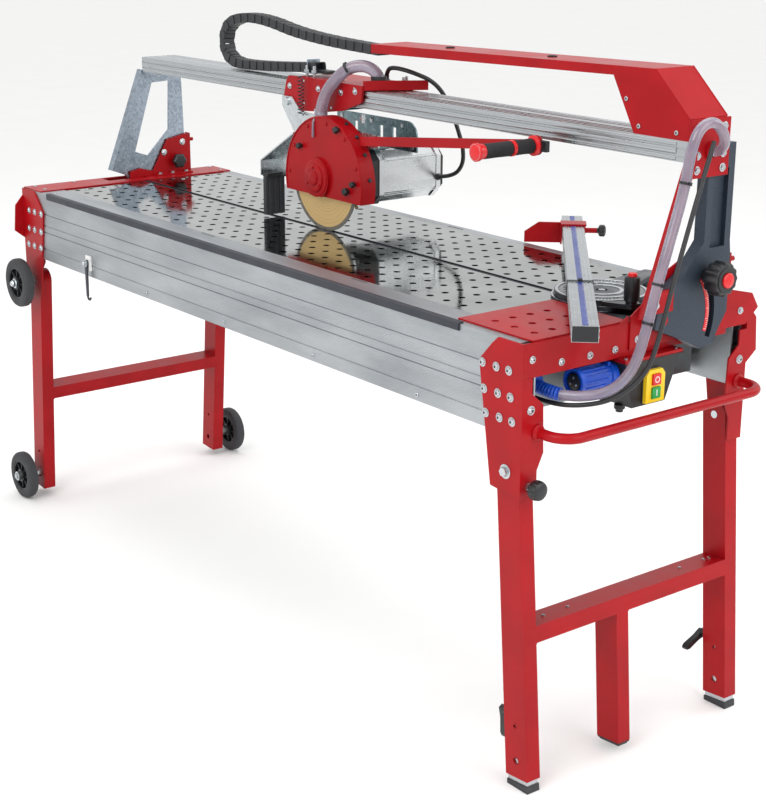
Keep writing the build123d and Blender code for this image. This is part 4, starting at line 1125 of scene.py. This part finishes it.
def make_guard_details():
    """The guard's stepped hub, rolled rim, black hand screws, edge bolts and its drip tube."""
    bm = bmesh.new()
    hub = pointing((SPINDLE[0], -27, SPINDLE[1]), (0, -1, 0))
    turned(bm, [(44, -1), (44, 1.6), (42, 2.6), (34, 2.8)], hub, 72)
    turned(bm, [(33, 2.5), (32, 6.4), (30, 7.4), (24, 7.6)], hub, 72)
    turned(bm, [(17, 7), (17, 10), (15, 11), (6, 11.2)], hub, 48)
    for angle in (90, 210, 330):
        x, z = on_circle(SPINDLE, 26, angle)
        turned(bm, [(3.4, 0), (3.4, 2.6), (2.4, 3.2)], pointing((x, -34, z), (0, -1, 0)), 6)
    rim = []
    for i in range(49):
        x, z = on_circle(GUARD_CENTRE, 149.6, -13.3 + 206.6 * i / 48)
        rim.append(at(x, GUARD_FACE - 0.4, z))
    tube(bm, rim, 1.9 * MM, 10)
    for angle in (20, 52, 84, 116, 148, 176):
        x, z = on_circle(GUARD_CENTRE, 137, angle)
        turned(bm, [(4.4, 0), (4.4, 1.8), (3, 2.8)], pointing((x, GUARD_FACE, z), (0, -1, 0)), 6)
    piece("guard_hub", bm, *COATED, "head", bevel=0.5)
    bm = bmesh.new()
    for x, z, radius in ((-117, 1078, 7.5), (67, 994, 9.5), (94, 1014, 7.5), (31, 1131, 8.5)):
        plane = pointing((x, GUARD_FACE, z), (0, -1, 0))
        neck = radius * 0.6
        outline = [(neck, 0), (neck, 4), (radius, 6), (radius, 12), (radius * 0.7, 14)]
        turned(bm, outline, plane, 40, 0, 5, 0.18)
    for angle in (8, 30, 48, 66):
        x, z = on_circle(GUARD_CENTRE, 151.5, angle)
        outward = on_circle((0, 0), 1, angle)
        plane = pointing((x, 4, z), (outward[0], 0, outward[1]))
        turned(bm, [(5, 0), (5, 3.4), (3.6, 4.4)], plane, 6)
    piece("guard_screws", bm, *BLACK, "head")
    bm = bmesh.new()
    drip = (
        (-64, -3, 1160), (-64.4, -17, 1150), (-65, -22.6, 1138), (-65.4, -22.8, 1118), (-65.8, -22.8, 1104),
    )
    tube(bm, [at(*place) for place in drip], 2.6 * MM, 12)
    turned(bm, [(15.6, 0), (15.6, 10), (14.2, 12)], pointing((-64, 0, 1149.5), (0, 0, 1)), 36)
    piece("drip_tube", bm, ["clear_pvc_hose"], "hose_clear", "head")


def make_blade():
    """The diamond blade: a thin core, gullets between the segments and a gritty rim."""
    disc = pointing((SPINDLE[0], 0, SPINDLE[1]), (0, -1, 0))
    bm = bmesh.new()
    ring_band(bm, 118.6, 10.05, (-0.9, 0.9), disc, 120)
    piece("blade_core", bm, ["blade_steel"], "blade_tan", "spindle", ["blade"])
    bm = bmesh.new()
    segment = 18.0
    gullet = 1.1
    for i in range(20):
        arc = [segment * i + gullet / 2 + (segment - gullet) * k / 8 for k in range(9)]
        outline = [on_circle((0, 0), 127, a) for a in arc]
        outline += [on_circle((0, 0), 118, a) for a in reversed(arc)]
        prism(bm, outline, (-1.2, 1.2), disc)
    piece("blade_rim", bm, ["segment_grit"], "blade_tan", "spindle")


def make_splash_details():
    """The splash flap's upright rubber slats, its clamp strip and the hood's screws."""
    bm = bmesh.new()
    for i in range(7):
        y = -28 + 8 * i
        depth = 1.5 if i % 2 else 0.0
        block(bm, (-271.5 + depth, -259.5 + depth), (y + 0.3, y + 7.7), (890.5, 983.4))
        for low in range(900, 980, 16):
            block(bm, (-272 + depth, -271 + depth), (y + 1.2, y + 6.8), (low, low + 9))
    piece("splash_slats", bm, ["wheel_rubber"], "black_rubber", "head", ["splash_flap"], bevel=0.5)
    bm = bmesh.new()
    block(bm, (-277, -255), (-25, 26), (983.6, 993))
    for y in (-16, 0, 16):
        socket_screw(bm, (-277, y, 988.5), (-1, 0, 0), 3.4, 2.2, 0, 0)
    piece("splash_clamp", bm, *BLACK, "head", bevel=0.8)
    bm = bmesh.new()
    for t in (0.15, 0.4, 0.65, 0.9):
        for y in (-12, 13):
            socket_screw(bm, (-293 + 141 * t, y, 1023.5 + 82 * t), (-0.5, 0, 0.86), 3.2, 2.0, 0, 0)
    piece("hood_screws", bm, *ZINC, "head")


def octagon(half_x, half_z, cut):
    """The motor housing's cut-corner outline about its own axis, as (x, z) in mm."""
    corners = []
    for sx, sz in ((1, 1), (1, -1), (-1, -1), (-1, 1)):
        near = (MOTOR_AXIS[0] + sx * (half_x - cut), MOTOR_AXIS[1] + sz * half_z)
        far = (MOTOR_AXIS[0] + sx * half_x, MOTOR_AXIS[1] + sz * (half_z - cut))
        corners += [near, far] if sx == sz else [far, near]
    return corners


def make_motor():
    """The motor: dark gear end, fluted silver barrel, end bell with screws, fan cowl and cable box."""
    bm = bmesh.new()
    for half_x, half_z, cut, span, finish in (
        (72, 66, 14, (25, 38), 0), (69, 64, 22, (38, 108), 1), (71, 65.5, 24, (108, 122), 0),
        (66, 62, 25, (122, 284), 0), (68, 64, 24, (284, 297), 0), (62, 58, 24, (297, 309), 1),
    ):
        prism(bm, octagon(half_x, half_z, cut), span, facing_y(), finish)
    for z in [962 + 4.0 * i for i in range(23)]:
        if 986 < z < 1026:
            continue
        for x in (MOTOR_AXIS[0] - 67.6, MOTOR_AXIS[0] + 65.8):
            block(bm, (x, x + 1.8), (124, 282), (z - 0.8, z + 0.8), None, 0)
    for x in [-85 + 7.0 * i for i in range(11)]:
        for z in (1067.8, 942.4):
            block(bm, (x - 1, x + 1), (124, 282), (z, z + 1.8), None, 0)
    for sx, sz in ((1, 1), (1, -1), (-1, 1), (-1, -1)):
        x, z = MOTOR_AXIS
        # Their dark hexagons are painted shade for the screws' sockets.
        socket_screw(bm, (x + sx * 52, 297, z + sz * 48), (0, 1, 0), 4.5, 4, 2, 1)
        socket_screw(bm, (x + sx * 62, 25.5, z + sz * 58), (0, -1, 0), 4.0, 0.4, 2, 1)
    for i in range(9):
        z = 974 + 8 * i
        block(bm, (-86, -14), (308.8, 309.6), (z - 1.6, z + 1.6), None, 3)
    block(bm, (-82, 14), (130, 230), (1069, 1071.6), None, 0)
    finishes = ["die_cast_aluminium", "moulded_black_abs", "zinc_plated_steel", "cable_sheath"]
    piece("motor_housing", bm, finishes, "motor_silver", "head", ["motor"], bevel=0.8)
    bm = bmesh.new()
    turned(bm, [(9, 0), (9, 8), (6.5, 11), (6.5, 16)], pointing((10, 290, 991), (1, 0, 0.02)), 12)
    piece("motor_gland", bm, *BLACK, "head", bevel=0.5)


def make_shield_details():
    """Bolts of the slotted shield and the head plate. The inner heads are thin, next to the carriage."""
    bm = bmesh.new()
    for x, z in ((-180, 1130), (-60, 1130), (60, 1130), (95, 1083)):
        hex_bolt(bm, (x, 150, z), (0, 1, 0), 5, 3.4)
        hex_bolt(bm, (x, 146, z), (0, -1, 0), 5, 1.2)
    for x, z in ((-240, 1168), (-150, 950), (40, 950), (100, 1108)):
        hex_bolt(bm, (x, 25, z), (0, 1, 0), 5, 3.6)
    piece("shield_bolts", bm, *ZINC, "head")


def make_plunge_handle():
    """The handle's foam grip between red collars, its red end cap and the bar's black tip."""
    bm = bmesh.new()
    plane = pointing((671, -3.3, 1170), (0, -1, 0))
    for low, high in ((9, 58), (66, 138)):
        profile = [(13.5, low), (15.2, low + 2.5), (14.7, (low + high) / 2), (15.2, high - 2.5), (13.5, high)]
        turned(bm, profile, plane, 40)
    piece("foam_grip", bm, ["grip_foam"], "black_rubber", "head", ["handle_grip"])
    bm = bmesh.new()
    turned(bm, [(14, 0), (20.5, 1.2), (20.5, 4.6), (15.4, 6.6), (15.0, 9)], plane, 48)
    turned(bm, [(15.2, 58), (16.2, 59.4), (16.2, 64.6), (15.2, 66)], plane, 48)
    turned(bm, [(15, 138), (15.6, 146), (18, 151), (18.2, 156), (14, 158.6), (6, 159.2)], plane, 48)
    piece("grip_collars", bm, *RED, "head")
    bm = bmesh.new()
    block(bm, (684, 706), (-5, 5), (1160, 1182))
    piece("bar_tip", bm, *BLACK, "head", bevel=1.2)


# ---- angle fence -----------------------------------------------------------------------------------
def make_fence_details():
    """The fence's blue scale, its plain ticks, T-slot lips and bolts, and the stop's hand screw."""
    place = along_fence()
    bm = bmesh.new()
    block(bm, (4, FENCE_LENGTH - 4), (-5.6, 5.6), (930.0, 930.35), place)
    piece("fence_scale", bm, ["scale_film"], "scale_aluminium", "fence")
    bm = bmesh.new()
    for i in range(98):
        reach = 3.2 if i % 5 == 0 else 1.8
        x = 22 + 10 * i
        block(bm, (x - 0.35, x + 0.35), (-5.4, -5.4 + reach), (930.3, 930.5), place)
    piece("fence_ticks", bm, ["white_abs"], "scale_aluminium", "fence")
    bm = bmesh.new()
    for side in (-1, 1):
        for y in (10, 18):
            low, high = sorted((side * y, side * (y + 1.6)))
            block(bm, (2, FENCE_LENGTH - 2), (low, high), (930, 931.1), place)
        for z in (907, 919):
            low, high = sorted((side * 24.0, side * 25.0))
            block(bm, (2, FENCE_LENGTH - 2), (low, high), (z, z + 2.4), place)
    piece("fence_ribs", bm, ["smooth_anodised_aluminium"], "scale_aluminium", "fence")
    bm = bmesh.new()
    # Black plates over the fence's ends: painted shade in place of the dark inside of its open U-profile.
    for x in (-1.5, FENCE_LENGTH):
        block(bm, (x, x + 1.5), (-23, 23), (901, 929), place)
    piece("fence_end_painted_shade", bm, *BLACK, "fence", bevel=0.5)
    bm = bmesh.new()
    post = pointing((944, 7, 905), (0, 0, 1))
    turned(bm, [(14, 0), (15.5, 3), (15.5, 40), (14.5, 46), (11, 48)], post, 40)
    piece("fence_clamp_grip", bm, *BLACK, "fence")
    bm = bmesh.new()
    turned(bm, [(9, 47), (9, 53), (7.6, 54.6), (3, 55)], post, 36)
    piece("fence_clamp_button", bm, *RED, "fence")
    bm = bmesh.new()
    block(bm, (338, 346), (-25.6, 25.6), (931.2, 932.4), place)
    for y in (-25.9, 24.7):
        block(bm, (338, 346), (y, y + 1.2), (899, 932.4), place)
    block(bm, (336, 348), (-4, 4), (932, 936), place)
    piece("fence_tie", bm, *BLACK, "fence", bevel=0.4)
    bm = bmesh.new()
    plane = place @ Matrix.Translation((917, -24 - 30, 917)) @ Matrix.Rotation(math.radians(90), 4, "X")
    turned(bm, [(6, 0), (6, 3), (13, 6), (14, 9), (14, 17), (10, 20), (4, 21)], plane, 60, 0, 6, 0.16)
    piece("stop_hand_screw", bm, *BLACK, "fence_stop")


def make_protractor_details():
    """The protractor's raised ring, its plain degree ticks and its clamp bolts."""
    bm = bmesh.new()
    plane = facing_z(0) @ Matrix.Translation((FENCE_PIVOT[0], FENCE_PIVOT[1], 0))
    ring_band(bm, 99.6, 96.2, (889.5, 890.4), plane, 120)
    piece("protractor_ring", bm, ["zinc_plated_steel"], "scale_aluminium", "table")
    bm = bmesh.new()
    for outer, inner in ((92, 86), (68, 60), (44, 36)):
        ring_band(bm, outer, inner, (899.8, 900.9), plane, 96)
    piece("swivel_rings", bm, *ZINC, "fence", bevel=0.4)
    bm = bmesh.new()
    for i in range(72):
        turn = plane @ Matrix.Rotation(math.radians(5 * i), 4, "Z")
        inner = 72 if i % 3 == 0 else 77
        block(bm, (inner, 83), (-0.45, 0.45), (900.0, 900.3), turn)
    piece("protractor_ticks", bm, ["white_abs"], "scale_aluminium", "fence")
    bm = bmesh.new()
    for angle in (30, 150, 270):
        x, y = on_circle(FENCE_PIVOT, 50, angle)
        socket_screw(bm, (x, y, 900), (0, 0, 1), 5, 3, 0, 1)
    hex_bolt(bm, (FENCE_PIVOT[0], FENCE_PIVOT[1], 896), (0, 0, 1), 8, 4)
    piece("protractor_bolts", bm, *ZINC_AND_SOCKET_SHADE, "fence")


# ---- stage -----------------------------------------------------------------------------------------
def make_floor(colour):
    """A wide, pale, matt floor with the faintest mottling."""
    tree, shader = new_finish("studio_floor")
    mottle = spread(tree, 300, detail=2.0)
    tree.links.new(blended(tree, mottle.outputs[0], colour, "#F3F3F2"), shader.inputs["Base Color"])
    tree.links.new(ranged(tree, mottle.outputs[0], 0.75, 0.9), shader.inputs["Roughness"])
    bm = bmesh.new()
    bmesh.ops.create_grid(bm, x_segments=8, y_segments=8, size=30)
    mesh = bpy.data.meshes.new("floor")
    bm.to_mesh(mesh)
    bm.free()
    mesh.materials.append(bpy.data.materials["studio_floor"])
    floor = bpy.data.objects.new("floor", mesh)
    floor.location.z = -0.0005
    bpy.context.scene.collection.objects.link(floor)


def make_soft_light(name, place, target, size, power):
    """A square soft box that looks at target."""
    lamp = bpy.data.lights.new(name, "AREA")
    lamp.shape = "RECTANGLE"
    lamp.size, lamp.size_y = size
    lamp.energy = power
    made = bpy.data.objects.new(name, lamp)
    made.location = place
    made.rotation_euler = (Vector(target) - Vector(place)).to_track_quat("-Z", "Y").to_euler()
    bpy.context.scene.collection.objects.link(made)


def make_world(strength):
    """A white studio sky, a shade greyer low down."""
    world = bpy.data.worlds.new("studio")
    world.use_nodes = True
    bpy.context.scene.world = world
    tree = world.node_tree
    tree.nodes.clear()
    place = add(tree, "TexCoord")
    direction = add(tree, "SeparateXYZ", {0: place.outputs["Generated"]})
    height = ranged(tree, direction.outputs[2], 0, 1, -0.1, 0.6)
    sky = add(tree, "Background", {0: blended(tree, height, "#ECEDEE", "#FFFFFF"), 1: strength})
    tree.links.new(sky.outputs[0], add(tree, "OutputWorld").inputs[0])


def make_camera(view):
    """The three-quarter view from the operator's end, a little above the table."""
    azimuth, height, roll = view.azimuth, view.elevation, view.roll
    flat = math.cos(height)
    back = Vector((math.sin(azimuth) * flat, -math.cos(azimuth) * flat, math.sin(height)))
    right = Vector((math.cos(azimuth), math.sin(azimuth), 0))
    up = back.cross(right)
    tilted_right = right * math.cos(roll) + up * math.sin(roll)
    tilted_up = up * math.cos(roll) - right * math.sin(roll)
    lens = bpy.data.cameras.new("camera")
    lens.lens = view.lens
    made = bpy.data.objects.new("camera", lens)
    turn = Matrix((tilted_right, tilted_up, back)).transposed().to_4x4()
    made.matrix_world = Matrix.Translation(view.place) @ turn
    bpy.context.scene.collection.objects.link(made)
    bpy.context.scene.camera = made


# ---- add-on ----------------------------------------------------------------------------------------
class TileSawTones(bpy.types.PropertyGroup):
    """Colours that a maker would change between runs."""

    coat: bpy.props.StringProperty(
        name="Powder coat", description="Frame colour, sRGB hex", default="#94060F",
    )
    rail: bpy.props.StringProperty(
        name="Rails", description="Anodised rail colour, sRGB hex", default="#9CA0A4",
    )
    blade: bpy.props.StringProperty(
        name="Blade", description="Lacquer on the blade core, sRGB hex", default="#D2AC6C",
    )
    floor: bpy.props.StringProperty(
        name="Floor", description="Studio floor colour, sRGB hex", default="#F7F7F6",
    )


class TileSawView(bpy.types.PropertyGroup):
    """Camera and light of the studio."""

    azimuth: bpy.props.FloatProperty(
        name="Azimuth", description="Turn of the view about the machine",
        default=math.radians(52.255), unit="ROTATION",
    )
    elevation: bpy.props.FloatProperty(
        name="Elevation", description="Height angle of the view",
        default=math.radians(17.296), unit="ROTATION",
    )
    roll: bpy.props.FloatProperty(
        name="Roll", description="Lean of the camera", default=math.radians(0.2496), unit="ROTATION"
    )
    lens: bpy.props.FloatProperty(
        name="Lens", description="Focal length in millimetres", default=72.80, unit="CAMERA",
    )
    place: bpy.props.FloatVectorProperty(
        name="Place", description="Where the camera stands",
        default=(3.0208, -2.2387, 1.6422), subtype="TRANSLATION",
    )
    sky: bpy.props.FloatProperty(name="Sky", description="Strength of the studio sky", default=1.0, min=0.0)
    key: bpy.props.FloatProperty(
        name="Key light", description="Power of the main soft box", default=95.0, unit="POWER",
    )


class TileSawGroup:
    """What the operators that add a group of pieces share: the group's makers, called in order."""

    makers = ()

    def execute(self, context):
        for maker in self.makers:
            maker()
        return {"FINISHED"}


class TileSawFinishes(bpy.types.Operator):
    """Makes every finish and puts it on the frame's own parts."""

    bl_idname = "tile_saw.finishes"
    bl_label = "Make the finishes"

    def execute(self, context):
        make_finishes(context.scene.tile_saw_tones)
        dress_frame()
        return {"FINISHED"}


class TileSawRails(TileSawGroup, bpy.types.Operator):
    """Adds the rubber strip, the rail screws and the rims in the table."""

    bl_idname = "tile_saw.rails"
    bl_label = "Dress the rails and table"
    makers = (make_edge_strip, make_rail_fittings, make_plate_rims, make_frame_screws)


class TileSawControls(TileSawGroup, bpy.types.Operator):
    """Adds the switch box's, the inlet's and the push handle's fine pieces."""

    bl_idname = "tile_saw.controls"
    bl_label = "Dress the controls"
    makers = (make_switch_details, make_inlet_details, make_push_handle_details)


class TileSawWater(TileSawGroup, bpy.types.Operator):
    """Adds the tank's fitting and drain."""

    bl_idname = "tile_saw.water"
    bl_label = "Dress the water tank"
    makers = (make_tank_details,)


class TileSawLegs(TileSawGroup, bpy.types.Operator):
    """Adds the legs' plugs, welds and rims and their clamp levers."""

    bl_idname = "tile_saw.legs"
    bl_label = "Dress the legs"
    makers = (make_leg_details, make_foot_levers)


class TileSawWheels(TileSawGroup, bpy.types.Operator):
    """Makes the tyres, hubs and nuts."""

    bl_idname = "tile_saw.wheels"
    bl_label = "Make the wheels"
    makers = (make_wheels,)


class TileSawKnobs(TileSawGroup, bpy.types.Operator):
    """Makes the lock knob, the tilt clamp's knob and the transport hook."""

    bl_idname = "tile_saw.knobs"
    bl_label = "Make the knobs and hook"
    makers = (make_lock_knob, make_clamp_knob, make_hook)


class TileSawTilt(TileSawGroup, bpy.types.Operator):
    """Adds the bolts, knob and angle scale of the tilting bridge."""

    bl_idname = "tile_saw.tilt"
    bl_label = "Dress the tilt supports and stands"
    makers = (make_tilt_details, make_stand_details)


class TileSawBeam(TileSawGroup, bpy.types.Operator):
    """Adds the beam's ribs and cap and the cable arm's fittings."""

    bl_idname = "tile_saw.beam"
    bl_label = "Dress the beam and cable arm"
    makers = (make_beam_details, make_arm_details)


class TileSawChain(TileSawGroup, bpy.types.Operator):
    """Makes the links of the cable chain."""

    bl_idname = "tile_saw.chain"
    bl_label = "Make the cable chain"
    makers = (make_cable_chain,)


class TileSawCords(TileSawGroup, bpy.types.Operator):
    """Makes the hoses and cables with their ties."""

    bl_idname = "tile_saw.cords"
    bl_label = "Make the hoses and cables"
    makers = (make_cords,)


class TileSawCarriage(TileSawGroup, bpy.types.Operator):
    """Adds the carriage's bolts, bracket, clip and return spring."""

    bl_idname = "tile_saw.carriage"
    bl_label = "Dress the carriage"
    makers = (make_carriage_details, make_return_spring)


class TileSawGuard(TileSawGroup, bpy.types.Operator):
    """Adds the guard's hub, rim and screws, and makes the blade and the splash flap."""

    bl_idname = "tile_saw.guard"
    bl_label = "Dress the guard and make the blade"
    makers = (make_guard_details, make_blade, make_splash_details)


class TileSawMotor(TileSawGroup, bpy.types.Operator):
    """Makes the motor's housing and the shield's bolts."""

    bl_idname = "tile_saw.motor"
    bl_label = "Make the motor"
    makers = (make_motor, make_shield_details)


class TileSawHandle(TileSawGroup, bpy.types.Operator):
    """Makes the foam grip and its collars."""

    bl_idname = "tile_saw.handle"
    bl_label = "Make the plunge handle's grip"
    makers = (make_plunge_handle,)


class TileSawFence(TileSawGroup, bpy.types.Operator):
    """Adds the fence's scale, ribs and hand screws and the protractor's ticks."""

    bl_idname = "tile_saw.fence"
    bl_label = "Dress the angle fence"
    makers = (make_fence_details, make_protractor_details)


class TileSawStage(bpy.types.Operator):
    """Sets the floor, the soft light and the camera."""

    bl_idname = "tile_saw.stage"
    bl_label = "Set the stage"

    def execute(self, context):
        view = context.scene.tile_saw_view
        make_floor(context.scene.tile_saw_tones.floor)
        make_world(view.sky)
        middle = (0, 0, 0.8)
        make_soft_light("key", (1.2, -3.6, 3.6), middle, (3.2, 2.2), view.key)
        make_soft_light("fill", (3.8, 0.4, 2.2), middle, (2.4, 2.4), view.key * 0.45)
        make_soft_light("top", (-0.6, 0.6, 4.2), middle, (4.0, 2.0), view.key * 0.5)
        make_soft_light("back", (2.2, 3.4, 2.6), middle, (2.6, 2.0), view.key * 0.3)
        make_camera(view)
        context.scene.view_settings.view_transform = "Standard"
        return {"FINISHED"}


OPERATORS = (
    TileSawFinishes,
    TileSawRails,
    TileSawControls,
    TileSawWater,
    TileSawLegs,
    TileSawWheels,
    TileSawKnobs,
    TileSawTilt,
    TileSawBeam,
    TileSawChain,
    TileSawCords,
    TileSawCarriage,
    TileSawGuard,
    TileSawMotor,
    TileSawHandle,
    TileSawFence,
    TileSawStage,
)


class TileSawPanel(bpy.types.Panel):
    """The tile saw's pieces, group by group."""

    bl_idname = "VIEW3D_PT_tile_saw"
    bl_label = "Tile saw"
    bl_space_type = "VIEW_3D"
    bl_region_type = "UI"
    bl_category = "Tile saw"

    def draw(self, context):
        tones = context.scene.tile_saw_tones
        view = context.scene.tile_saw_view
        for name in ("coat", "rail", "blade", "floor"):
            self.layout.prop(tones, name)
        for name in ("azimuth", "elevation", "roll", "lens", "place", "sky", "key"):
            self.layout.prop(view, name)
        for operator in OPERATORS:
            self.layout.operator(operator.bl_idname)


CLASSES = (TileSawTones, TileSawView, *OPERATORS, TileSawPanel)


def register():
    for item in CLASSES:
        bpy.utils.register_class(item)
    bpy.types.Scene.tile_saw_tones = bpy.props.PointerProperty(type=TileSawTones)
    bpy.types.Scene.tile_saw_view = bpy.props.PointerProperty(type=TileSawView)


def unregister():
    del bpy.types.Scene.tile_saw_view
    del bpy.types.Scene.tile_saw_tones
    for item in reversed(CLASSES):
        bpy.utils.unregister_class(item)


def main():
    register()
    for operator in OPERATORS:
        group, name = operator.bl_idname.split(".")
        getattr(getattr(bpy.ops, group), name)()


if __name__ == "__main__":
    main()
